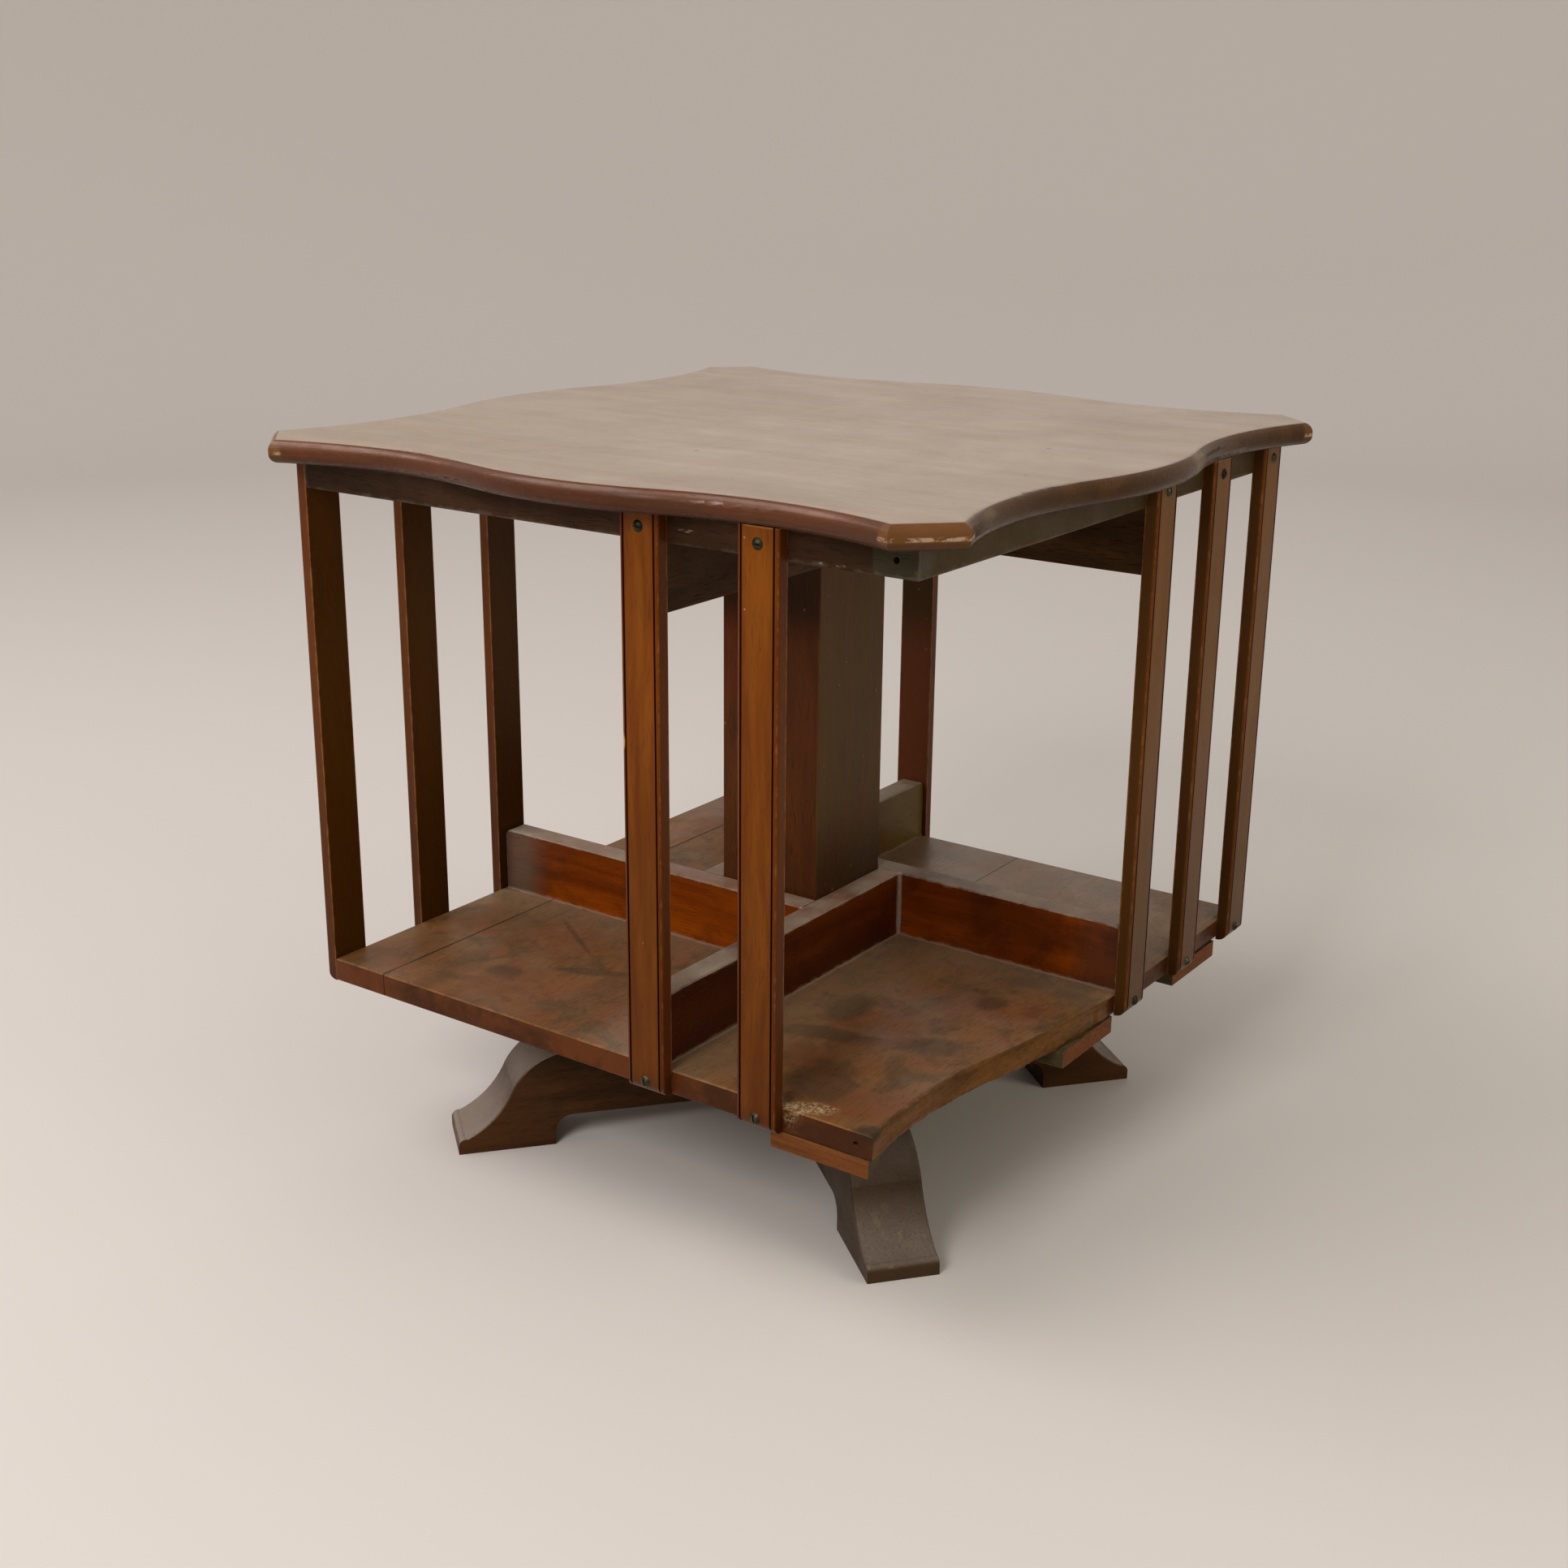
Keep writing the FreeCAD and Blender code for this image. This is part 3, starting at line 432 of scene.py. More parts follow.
def top_finish():
    finish, tree, shader, place, normal, board = start_finish("top_polish", "X", 1)
    side = split(tree, normal)
    x, y, z = split(tree, place)
    nose = ramp(tree, side["Z"], 0.985, 0.90)
    under = ramp(tree, side["Z"], -0.6, -0.95)
    wear = use(tree, rubs, Vector=place, Patches=9.0, Scratches=0.6)
    fine = use(tree, rubs, Vector=place, Patches=60.0)

    # the flat: nearly even, with soft smears every way across it and a few dark specks
    flat = use(tree, grain, Vector=board, Pale=TOP_FLAT, Dark=TOP_FLAT_DARK, Streaks=60.0, Fibre=0.05,
               Pores=0.04)
    smear = noise(tree, place, 26.0, 5, 0.62, 0.5)
    tooth = noise(tree, place, 330.0, 3, 0.7)
    flat_light = both(tree, ramp(tree, smear, 0.32, 0.68, 0.95, 1.03),
                      patchy(tree, wear, 0.97, 1.03), ramp(tree, tooth, 0.3, 0.7, 0.975, 1.02))
    flat_colour = shaded(tree, flat["Color"], flat_light)
    speck = use(tree, flecks, Vector=place, Scale=30.0, Size=0.05, Share=0.2)["Mask"]
    flat_colour = lay(tree, TOP_SPECK, 0.6, speck, flat_colour)
    flat_colour = lay(tree, TOP_SPECK, 0.18, wear["Scratch"], flat_colour)

    # the nose: polished along the front and back, darker end grain at the sides, rubbed in places, with painted
    # shade as it turns under
    polish = use(tree, grain, Vector=board, Pale=TOP_NOSE, Dark=TOP_NOSE_DARK, Streaks=70.0, Fibre=0.2,
                 Pores=0.2)
    # pale marks: rubbed polish, and a painted highlight along the upper nose
    dull = calc(tree, "MULTIPLY", marks(tree, place, TOP_DULL_AND_HIGHLIGHT_MARKS), 0.7)
    nose_colour = mix(tree, dull, polish["Color"], TOP_NOSE_DULL_AND_HIGHLIGHT)
    side_x, side_y = calc(tree, "ABSOLUTE", side["X"]), calc(tree, "ABSOLUTE", side["Y"])
    end = ramp(tree, calc(tree, "SUBTRACT", side_x, side_y), -0.05, 0.25)
    end_colour = mix(tree, patchy(tree, fine, 0.3, 0.9), TOP_END_DARK, TOP_END_GRAIN)
    end_colour = lay(tree, TOP_END_PALE, 0.8, marks(tree, place, TOP_PALE_MARKS), end_colour)
    nose_colour = mix(tree, end, nose_colour, end_colour)
    # painted shade: the nose is darkened towards its underside
    nose_colour = shaded(tree, nose_colour, ramp(tree, side["Z"], -0.3, 0.8, 0.52, 0.95))
    rim = band(tree, side["Z"], 0.94, 0.99, 0.02)
    rim = both(tree, rim, ramp(tree, fine["Patch"], 0.1, 0.7, 0.5, 0.85))
    nose_colour = mix(tree, rim, nose_colour, TOP_RIM)

    # the canted corners: duller, with a thin pale line in short runs that is partly flaked polish and partly a
    # painted highlight, and painted shade below it
    corner = calc(tree, "ADD", calc(tree, "ABSOLUTE", x), calc(tree, "ABSOLUTE", y))
    corner = both(tree, ramp(tree, corner, TOP_CANT_FROM - 0.002, TOP_CANT_FROM + 0.002), nose)
    nose_colour = lay(tree, TOP_CANT, 0.6, corner, nose_colour)
    run = put(tree, "ShaderNodeCombineXYZ", None,
              {"X": calc(tree, "MULTIPLY", calc(tree, "ADD", x, y), 0.25), "Y": z, "Z": y}).outputs[0]
    flake_highlight_runs = noise(tree, run, 260.0, 4, 0.6)
    # painted shade on the lower part of the canted corners
    cant_painted_shade = both(tree, corner, ramp(tree, z, TOP_FLAKE_HIGHLIGHT_Z - TOP_FLAKE_HIGHLIGHT_HALF, TOP_FLAKE_HIGHLIGHT_Z - 0.0022))
    nose_colour = lay(tree, TOP_CANT_PAINTED_SHADE, 0.65, cant_painted_shade, nose_colour)
    line = band(tree, z, TOP_FLAKE_HIGHLIGHT_Z - TOP_FLAKE_HIGHLIGHT_HALF, TOP_FLAKE_HIGHLIGHT_Z + TOP_FLAKE_HIGHLIGHT_HALF, TOP_FLAKE_HIGHLIGHT_HALF)
    # the pale line: flaked polish and a painted highlight
    chip_and_highlight = both(tree, corner, line, ramp(tree, flake_highlight_runs, 0.42, 0.54))
    nose_colour = lay(tree, TOP_CHIP_AND_HIGHLIGHT, 0.85, chip_and_highlight, nose_colour)

    colour = mix(tree, nose, flat_colour, nose_colour)
    under_wood = use(tree, grain, Vector=board, Pale=TOP_UNDER, Dark=TOP_UNDER_DARK)
    colour = mix(tree, under, colour, under_wood["Color"])
    rough = mix(tree, nose, patchy(tree, wear, 0.52, 0.44), patchy(tree, fine, 0.2, 0.3))
    rough = roughened(tree, rough, 0.75, calc(tree, "MAXIMUM", under, chip_and_highlight))
    coat = both(tree, ramp(tree, side["Z"], 0.93, 0.80), patchy(tree, fine, TOP_COAT, TOP_COAT * 0.7))
    coat = both(tree, coat, calc(tree, "SUBTRACT", 1.0, chip_and_highlight), calc(tree, "SUBTRACT", 1.0, dull),
                ramp(tree, side["Z"], -0.2, 0.4, 0.3, 1.0), ramp(tree, end, 0, 1, 1.0, 0.2))
    height = calc(tree, "SUBTRACT", flat["Height"], calc(tree, "MULTIPLY", chip_and_highlight, 3.0))
    close_finish(tree, shader, height, 0.0001, Base_Color=colour, Roughness=rough, Coat_Weight=coat,
                 Coat_Roughness=TOP_COAT_ROUGHNESS)
    return finish


dress("top_board", top_finish())

# ---- under-board ----
# Plain square board that closes the bays above. Its dark stain is scuffed pale in places, and it is
# darker still, with a greenish cast, where the front corner slat once covered its edge.
UNDER_BOARD_PALE = srgb(54, 33, 20)
UNDER_BOARD_DARK = srgb(34, 20, 11)
UNDER_BOARD_SIDE = srgb(66, 54, 32)
UNDER_BOARD_SCUFF = srgb(158, 146, 134)
UNDER_BOARD_GHOST = srgb(44, 46, 34)
UNDER_BOARD_CORNER = srgb(72, 68, 58)
UNDER_BOARD_RUB = ((0.185, -0.185, 0.376), (0.012, 0.014, 0.012), 0.0, 0.9)      # round the bare corner
UNDER_BOARD_SCUFFS = [      # centre, reach, turn and raggedness of each
    ((0.063, -0.185, 0.3765), (0.006, 0.003, 0.0009), 0.0, 1.8),
    ((0.137, -0.185, 0.3712), (0.003, 0.003, 0.0007), 0.0, 1.2),
    ((0.146, -0.185, 0.3712), (0.003, 0.003, 0.0007), 0.0, 1.2),
]


def under_board_finish():
    finish, tree, shader, place, normal, board = start_finish("under_board_stain", "X", 2)
    side = split(tree, normal)
    low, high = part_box("under_board")
    slat_low, slat_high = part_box("slat_right_corner")
    ghost_from = high.x - (slat_high.y - slat_low.y)
    wood = use(tree, grain, Vector=board, Pale=UNDER_BOARD_PALE, Dark=UNDER_BOARD_DARK, Streaks=90.0)
    wear = use(tree, rubs, Vector=place, Patches=26.0)
    colour = shaded(tree, wood["Color"], patchy(tree, wear, 0.8, 1.15))
    flank = ramp(tree, calc(tree, "ABSOLUTE", side["X"]), 0.4, 0.8, 0, 0.8)
    colour = mix(tree, flank, colour, UNDER_BOARD_SIDE)
    ghost = band(tree, split(tree, place)["X"], ghost_from, high.x, 0.0008)
    ghost = both(tree, ghost, ramp(tree, side["Y"], -0.5, -0.8))
    colour = lay(tree, UNDER_BOARD_GHOST, 0.85, ghost, colour)
    rubbed = both(tree, mark(tree, place, *UNDER_BOARD_RUB), ramp(tree, side["X"], 0.5, 0.8))
    colour = lay(tree, UNDER_BOARD_CORNER, 0.8, rubbed, colour)
    edge = arris_wear(tree, place, low, high, 0.0016)
    colour = lay(tree, UNDER_BOARD_SCUFF, 0.14, edge, colour)
    scrape = both(tree, marks(tree, place, UNDER_BOARD_SCUFFS),
                  ramp(tree, noise(tree, stretched(tree, place, 0.5, 1, 1), 700.0, 3), 0.42, 0.58))
    colour = lay(tree, UNDER_BOARD_SCUFF, 0.5, scrape, colour)
    close_finish(tree, shader, wood["Height"], 0.0002, Base_Color=colour,
                 Roughness=patchy(tree, wear, 0.6, 0.45))
    return finish


dress("under_board", under_board_finish())

# ---- slats ----
# Eleven moulded laths of straight-grained wood, varnished amber, with a quirk along each side of the face,
# painted dark.
# The varnish is redder towards the arrises and dulled to olive on the right-hand side; painted shade darkens it
# low down, and the backs are dark with their own stain and with painted shade. Each is screwed to the shelf's
# edge and to the under-board's.
SLAT_PALE = srgb(122, 66, 8)
SLAT_DARK = srgb(92, 42, 2)
SLAT_RED = srgb(88, 36, 8)
SLAT_SIDE = srgb(80, 40, 12)
SLAT_OLIVE = srgb(104, 72, 28)
SLAT_OLIVE_SIDE = srgb(70, 46, 20)
SLAT_BACK = srgb(70, 40, 4)
SLAT_BACK_BROWN = srgb(62, 44, 20)      # inner faces of the back slats, high up
SLAT_BACK_RED = srgb(112, 62, 38)       # and lower down
SLAT_SHADE = srgb(46, 22, 8)
SLAT_BARE = srgb(190, 132, 76)
SLAT_OLD_SHINE = 0.15       # of the dulled varnish
SLAT_END_STAIN = 0.016
SLAT_SHADE_HEIGHTS = (0.27, 0.12)             # heights between which painted shade darkens the slats downwards,
SLAT_LOW_SHADE = 0.68                   # to this share
SLAT_BACK_TURNS = (0.265, 0.225)        # heights between which the back slats' brown turns red
SLAT_CHIP = ((0.0298, -0.1925, 0.274), (0.0016, 0.003, 0.005))      # on the front rail slat's left arris
QUIRK = (0.0018, 0.0029)    # from a slat's side to the groove in its face
QUIRK_DEPTH = 0.0011
OUTWARD = {"left": (-1, 0, 0), "front": (0, -1, 0), "right": (1, 0, 0), "back": (0, 1, 0)}


def slat_finish(node_name, seed):
    finish, tree, shader, place, normal, board = start_finish(node_name + "_varnish", "Z", seed)
    outward = Vector(OUTWARD[node_name.split("_")[1]])
    low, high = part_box(node_name)
    middle = (low + high) / 2
    face_at = max(outward.dot(low), outward.dot(high))
    sideways = "X" if outward.x == 0 else "Y"
    across = "XY".index(sideways)
    half_wide = (high - low)[across] / 2
    facing = vector_calc(tree, "DOT_PRODUCT", normal, outward)
    from_side = calc(tree, "SUBTRACT", middle[across], split(tree, place)[sideways])
    from_side = calc(tree, "SUBTRACT", half_wide, calc(tree, "ABSOLUTE", from_side))
    depth = calc(tree, "SUBTRACT", face_at, vector_calc(tree, "DOT_PRODUCT", place, outward))

    wood = use(tree, grain, Vector=board, Pale=SLAT_PALE, Dark=SLAT_DARK, Streaks=120.0, Fibre=0.2,
               Pores=0.22)
    wear = use(tree, rubs, Vector=board, Patches=14.0, Scratches=0.6)
    z = split(tree, place)["Z"]
    varnish = wood["Color"]
    flank_colour = SLAT_SIDE
    inner = SLAT_BACK
    low_shade = SLAT_LOW_SHADE
    if node_name.startswith("slat_right"):
        varnish = mix(tree, patchy(tree, wear, 0.6, 0.85), varnish, SLAT_OLIVE)
        flank_colour = SLAT_OLIVE_SIDE
        shader.inputs["Specular IOR Level"].default_value = SLAT_OLD_SHINE
    if node_name.startswith("slat_back"):
        inner = mix(tree, ramp(tree, z, *SLAT_BACK_TURNS), SLAT_BACK_BROWN, SLAT_BACK_RED)
        low_shade = 1.0
    colour = mix(tree, ramp(tree, from_side, 0.0055, 0.0015, 0, 0.6), varnish, SLAT_RED)
    colour = mix(tree, ramp(tree, wear["Patch"], 0.3, 1.0, 0, 0.25), colour, SLAT_RED)
    flank = ramp(tree, calc(tree, "ABSOLUTE", facing), 0.6, 0.3)
    colour = lay(tree, flank_colour, 0.7, flank, colour)
    # the backs: their own darker stain, with painted shade from inside the carousel
    colour = mix(tree, ramp(tree, facing, -0.4, -0.8, 0, 0.9), colour, inner)
    ends = calc(tree, "MAXIMUM", ramp(tree, z, low.z + SLAT_END_STAIN, low.z),
                ramp(tree, z, high.z - SLAT_END_STAIN, high.z, 0, 0.5))
    colour = lay(tree, SLAT_SHADE, 0.4, ends, colour)
    edge = arris_wear(tree, place, low, high, 0.0007)
    colour = lay(tree, SLAT_BARE, 0.35, edge, colour)
    quirk = both(tree, band(tree, from_side, QUIRK[0], QUIRK[1], 0.0003),
                 band(tree, depth, 0.0002, QUIRK_DEPTH + 0.0002, 0.0002))
    colour = lay(tree, SLAT_SHADE, 0.75, quirk, colour)
    fleck = use(tree, flecks, Vector=place, Scale=150.0, Size=0.10, Share=0.10)["Mask"]
    fleck = calc(tree, "MAXIMUM", calc(tree, "MULTIPLY", fleck, 0.5), mark(tree, place, *SLAT_CHIP))
    colour = mix(tree, fleck, colour, SLAT_BARE)
    colour = lay(tree, SLAT_SHADE, 0.3, wear["Scratch"], colour)
    # painted shade: the slats darken towards the bottom
    colour = shaded(tree, colour, ramp(tree, z, *SLAT_SHADE_HEIGHTS, 1.0, low_shade))
    close_finish(tree, shader, wood["Height"], 0.0001, Base_Color=colour,
                 Roughness=patchy(tree, wear, 0.40, 0.28))
    return finish


slat_names = sorted(name for name in NODES if name.startswith("slat_") and name != "slat_screws")
for seed, name in enumerate(slat_names, start=10):
    dress(name, slat_finish(name, seed))

# ---- column ----
# Four boards butted round the spindle, stained a deep red-brown. The left and right ones are a dull olive. The
# front one carries painted shade at its head, between the upper rails, and is painted a little lighter below it;
# all are darker at the foot.
COLUMN_PALE = srgb(86, 40, 14)
COLUMN_DARK = srgb(56, 24, 6)
COLUMN_RED = srgb(104, 30, 14)
COLUMN_OLIVE = srgb(86, 66, 36)
COLUMN_FOOT = srgb(34, 18, 8)
COLUMN_FLECK = srgb(150, 104, 70)
COLUMN_HEAD_SHADE_ENDS = (0.308, 0.284)       # heights between which the painted shade at the head ends
COLUMN_FOOT_STARTS = (0.205, 0.150)     # and the dark foot comes in


def column_finish(side_name, seed):
    node_name = "column_panel_" + side_name
    finish, tree, shader, place, normal, board = start_finish(node_name + "_stain", "Z", seed)
    z = split(tree, place)["Z"]
    side = split(tree, normal)
    side_x = calc(tree, "ABSOLUTE", side["X"])
    wood = use(tree, grain, Vector=board, Pale=COLUMN_PALE, Dark=COLUMN_DARK, Streaks=90.0, Fibre=0.25,
               Pores=0.4)
    wear = use(tree, rubs, Vector=place, Patches=12.0)
    broad = ramp(tree, noise(tree, stretched(tree, place, 1, 1, 0.5), 14.0, 3), 0.45, 0.62)
    colour = lay(tree, COLUMN_RED, 0.5, broad, wood["Color"])
    rubbed = both(tree, ramp(tree, side_x, 0.5, 0.8, 0.15, 0.85), ramp(tree, wear["Patch"], 0, 0.8, 0.6, 1))
    colour = mix(tree, rubbed, colour, COLUMN_OLIVE)
    front = ramp(tree, side["Y"], -0.5, -0.8)
    # painted shade on the front face at the head, and a little painted light below it
    colour = mix(tree, front, colour, shaded(tree, colour, ramp(tree, z, *COLUMN_HEAD_SHADE_ENDS, 0.30, 1.12)))
    foot = both(tree, ramp(tree, z, *COLUMN_FOOT_STARTS, 0, 0.65), ramp(tree, side_x, 0.5, 0.8, 0.30, 1))
    colour = mix(tree, foot, colour, COLUMN_FOOT)
    fleck = use(tree, flecks, Vector=place, Scale=95.0, Size=0.09, Share=0.12)["Mask"]
    colour = lay(tree, COLUMN_FLECK, 0.5, fleck, colour)
    close_finish(tree, shader, wood["Height"], 0.00018, Base_Color=colour,
                 Roughness=patchy(tree, wear, 0.36, 0.48))
    return finish


for seed, side_name in enumerate(OUTWARD, start=30):
    dress("column_panel_" + side_name, column_finish(side_name, seed))

# ---- rails ----
# Boards on edge that run like a pinwheel from the column to the slats, four on the shelf and four under the
# under-board. The lower ones are varnished deep orange-red, with grey dust along their tops and in the corners,
# and painted shade darkens their sides and the rails further under the top; the upper ones are dull and nearly
# black.
RAIL_PALE = srgb(142, 64, 2)
RAIL_DARK = srgb(88, 32, 0)
# for patches of darker varnish and for painted shade
RAIL_SHADE = srgb(44, 14, 4)
RAIL_DUST = srgb(166, 150, 132)
RAIL_END = srgb(84, 72, 60)
RAIL_END_OLIVE = srgb(98, 80, 36)       # the outer end of the back rail
UPPER_RAIL_PALE = srgb(70, 46, 22)
UPPER_RAIL_DARK = srgb(44, 26, 12)
RAIL_PAINTED_SHADE = {"left": 0.0, "front": 0.2, "right": 0.25, "back": 0.2}      # painted shade on each, more on those further under the top
RAIL_END_GREY = {"left": 0.75, "front": 0.0, "right": 0.15, "back": 0.8}     # how grey the outer ends are
RAIL_END_REACH = {"left": 0.036, "front": 0.036, "right": 0.036, "back": 0.110}     # and how far in
RAIL_SHADED_END = -0.095      # painted shade makes the front rail's side nearly black from here to its outer end
RAIL_SHADED_MIDDLE = ((0.118, 0.032, 0.132), (0.044, 0.012, 0.026), 0.0, 0.7)      # painted shade in the middle of the right rail
CORNER_DUST = (0.0024, 0.0024, 0.06)    # how far the dust in the bays' corners reaches


def lies_along(node_name):
    """Which way a board runs, X or Y."""
    low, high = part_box(node_name)
    return "X" if high.x - low.x > high.y - low.y else "Y"


def lower_rail_finish(side_name, seed):
    node_name = "lower_rail_" + side_name
    low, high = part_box(node_name)
    lie = lies_along(node_name)
    finish, tree, shader, place, normal, board = start_finish(node_name + "_varnish", lie, seed)
    side_x = split(tree, normal)["X"]
    wood = use(tree, grain, Vector=board, Pale=RAIL_PALE, Dark=RAIL_DARK, Streaks=50.0, Fibre=0.2, Pores=0.25)
    wear = use(tree, rubs, Vector=place, Patches=15.0)
    painted_shade = RAIL_PAINTED_SHADE[side_name]
    # painted shade for each rail, over patches of darker varnish
    colour = mix(tree, ramp(tree, wear["Patch"], 0.5, 0.0, painted_shade, 0.45 + painted_shade), wood["Color"], RAIL_SHADE)
    # painted shade: the sides that face left and right are darkened
    colour = mix(tree, ramp(tree, calc(tree, "ABSOLUTE", side_x), 0.5, 0.8, 0, 0.6), colour, RAIL_SHADE)
    reach = split(tree, place)[lie]
    outer = max(abs(low["XY".index(lie)]), abs(high["XY".index(lie)]))
    end = ramp(tree, calc(tree, "ABSOLUTE", reach), outer - RAIL_END_REACH[side_name], outer - 0.012,
               0, RAIL_END_GREY[side_name])
    colour = mix(tree, end, colour, RAIL_END_OLIVE if side_name == "back" else RAIL_END)
    if side_name == "front":
        # painted shade on the outer part of the front rail's side
        shaded_end = both(tree, ramp(tree, reach, RAIL_SHADED_END, RAIL_SHADED_END - 0.03),
                        ramp(tree, side_x, 0.5, 0.8))
        colour = lay(tree, RAIL_SHADE, 0.75, shaded_end, colour)
    if side_name == "right":
        # painted shade on the middle of the right rail
        colour = lay(tree, RAIL_SHADE, 0.55, mark(tree, place, *RAIL_SHADED_MIDDLE), colour)
    edge = arris_wear(tree, place, low, high, 0.0012)
    colour = lay(tree, RAIL_DUST, 0.35, edge, colour)
    corners = marks(tree, place, [((*corner, (low.z + high.z) / 2), CORNER_DUST, 0.0, 0.8)
                                  for corner in BAY_CORNERS])
    coat = use(tree, dust, Vector=place, Color=colour, Dust=RAIL_DUST, Amount=0.95, Patches=30.0,
               Extra=calc(tree, "MULTIPLY", corners, 0.6))
    rough = roughened(tree, patchy(tree, wear, 0.40, 0.26), 0.85, coat["Mask"])
    close_finish(tree, shader, wood["Height"], 0.00012, Base_Color=coat["Color"], Roughness=rough)
    return finish


def upper_rail_finish(side_name, seed):
    node_name = "upper_rail_" + side_name
    low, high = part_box(node_name)
    finish, tree, shader, place, _, board = start_finish(node_name + "_stain", lies_along(node_name), seed)
    wood = use(tree, grain, Vector=board, Pale=UPPER_RAIL_PALE, Dark=UPPER_RAIL_DARK, Streaks=60.0)
    wear = use(tree, rubs, Vector=place, Patches=16.0)
    colour = shaded(tree, wood["Color"], patchy(tree, wear, 0.8, 1.2))
    edge = arris_wear(tree, place, low, high, 0.0010)
    colour = lay(tree, RAIL_PALE, 0.25, edge, colour)
    close_finish(tree, shader, wood["Height"], 0.00018, Base_Color=colour,
                 Roughness=patchy(tree, wear, 0.55, 0.42))
    return finish


# where two lower rails meet: the first corner, and the same turned by a quarter, three times
low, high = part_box("lower_rail_front")
BAY_CORNERS = ((high.x, low.x), (-low.x, high.x), (-high.x, -low.x), (low.x, -high.x))
for seed, side_name in enumerate(OUTWARD, start=40):
    dress("lower_rail_" + side_name, lower_rail_finish(side_name, seed))
    dress("upper_rail_" + side_name, upper_rail_finish(side_name, seed + 5))

# ---- shelf ----
# Three planks laid side by side, grain from front to back. The stain is worn to red and warm brown, with
# smears of grey dust across it, and the right-hand edge has split away to bare amber wood.
SHELF_PALE = srgb(128, 82, 38)
SHELF_DARK = srgb(100, 60, 24)
SHELF_RED = srgb(120, 62, 28)
SHELF_BLOT = srgb(52, 34, 14)
SHELF_OLIVE = srgb(70, 50, 20)
SHELF_HAZE = srgb(116, 88, 60)
SHELF_EDGE = srgb(86, 42, 14)
SHELF_EDGE_DARK = srgb(56, 27, 10)
SHELF_FRESH = srgb(106, 67, 22)
SHELF_FRESH_DARK = srgb(74, 43, 10)
SHELF_TORN = srgb(42, 30, 18)
SHELF_CRUMB = srgb(206, 182, 138)
SHELF_DUST = srgb(150, 130, 106)
SHELF_COAT_ROUGHNESS = 0.3
SHELF_CLOUDS = (            # shift and scale of a pattern, where it starts and is full, share and stain
    (0.31, 30.0, 0.50, 0.62, 0.65, SHELF_RED),
    (0.73, 34.0, 0.50, 0.63, 0.65, SHELF_OLIVE),
    (1.37, 24.0, 0.50, 0.64, 0.40, SHELF_HAZE),
    (1.91, 55.0, 0.55, 0.66, 0.45, SHELF_BLOT),
    (2.43, 75.0, 0.52, 0.66, 0.22, SHELF_HAZE),
)
SHELF_BLOTS = (             # x, y, reach along each, turn and raggedness of the dark stains
    (0.143, 0.015, 0.021, 0.010, 0.4, 0.6),
    (0.142, -0.086, 0.024, 0.013, 0.4, 0.9),
    (0.081, -0.069, 0.014, 0.022, 0.2, 0.9),
    (0.166, 0.018, 0.012, 0.012, 0.0, 0.8),
    (0.139, -0.022, 0.010, 0.012, 0.0, 0.7),
    (0.117, -0.150, 0.024, 0.030, 0.3, 0.9),
    (0.088, -0.105, 0.040, 0.010, 0.25, 1.0),
    (-0.100, -0.081, 0.036, 0.0022, -0.58, 0.5),
    (-0.129, -0.060, 0.0022, 0.017, 0.0, 0.5),
    (-0.098, -0.142, 0.014, 0.010, 0.3, 0.9),
    (-0.060, -0.116, 0.026, 0.006, 0.4, 0.9),
)
SHELF_RED_MARKS = (
    (0.092, -0.128, 0.014, 0.012, 0.0, 0.8),
    (0.148, -0.160, 0.030, 0.022, 0.5, 0.8),
    (0.142, -0.032, 0.030, 0.020, 0.3, 0.9),
    (-0.044, -0.177, 0.016, 0.008, 0.0, 0.9),
    (-0.150, -0.172, 0.020, 0.010, 0.0, 0.9),
    (0.105, -0.075, 0.030, 0.018, 0.3, 1.0),
    (-0.078, -0.148, 0.044, 0.026, 0.4, 0.8),
    (-0.100, -0.085, 0.038, 0.026, 0.0, 0.8),
)
SHELF_CRUMBS = (
    (0.130, -0.1775, 0.016, 0.007, 0.35, 1.0),
    (0.122, -0.1815, 0.009, 0.004, 0.0, 1.0),
)
SHELF_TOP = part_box("shelf_plank_3")[1].z
TORN_MARK = ((0.166, -0.182, SHELF_TOP), (0.010, 0.008, 0.006), 0.4, 0.8)
JOINT_AT = (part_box("shelf_plank_1")[1].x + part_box("shelf_plank_2")[0].x) / 2      # the open joint at the left
JOINT_HALF = 0.0006         # half as wide as the dirt in it
BREAK_FROM_X = 0.1655       # the broken side lies past this, in front of BREAK_TO_Y
BREAK_TO_Y = 0.0225


def on_shelf(tree, place, rows):
    """Marks on the shelf's upper face, from rows of x, y, reach along each, turn and raggedness."""
    return marks(tree, place, [((x, y, SHELF_TOP), (reach_x, reach_y, 0.02), turn, ragged)
                               for x, y, reach_x, reach_y, turn, ragged in rows])


def near_rails(tree, place):
    """Distance outwards from the nearest lower rail, seen from above."""
    nearest = None
    for side_name in OUTWARD:
        low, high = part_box("lower_rail_" + side_name)
        gap = vector_calc(tree, "SUBTRACT", place, (low + high) / 2)
        gap = vector_calc(tree, "SUBTRACT", vector_calc(tree, "ABSOLUTE", gap), (high - low) / 2)
        gap = split(tree, gap)
        away = calc(tree, "MAXIMUM", gap["X"], gap["Y"])
        nearest = away if nearest is None else calc(tree, "MINIMUM", nearest, away)
    return nearest


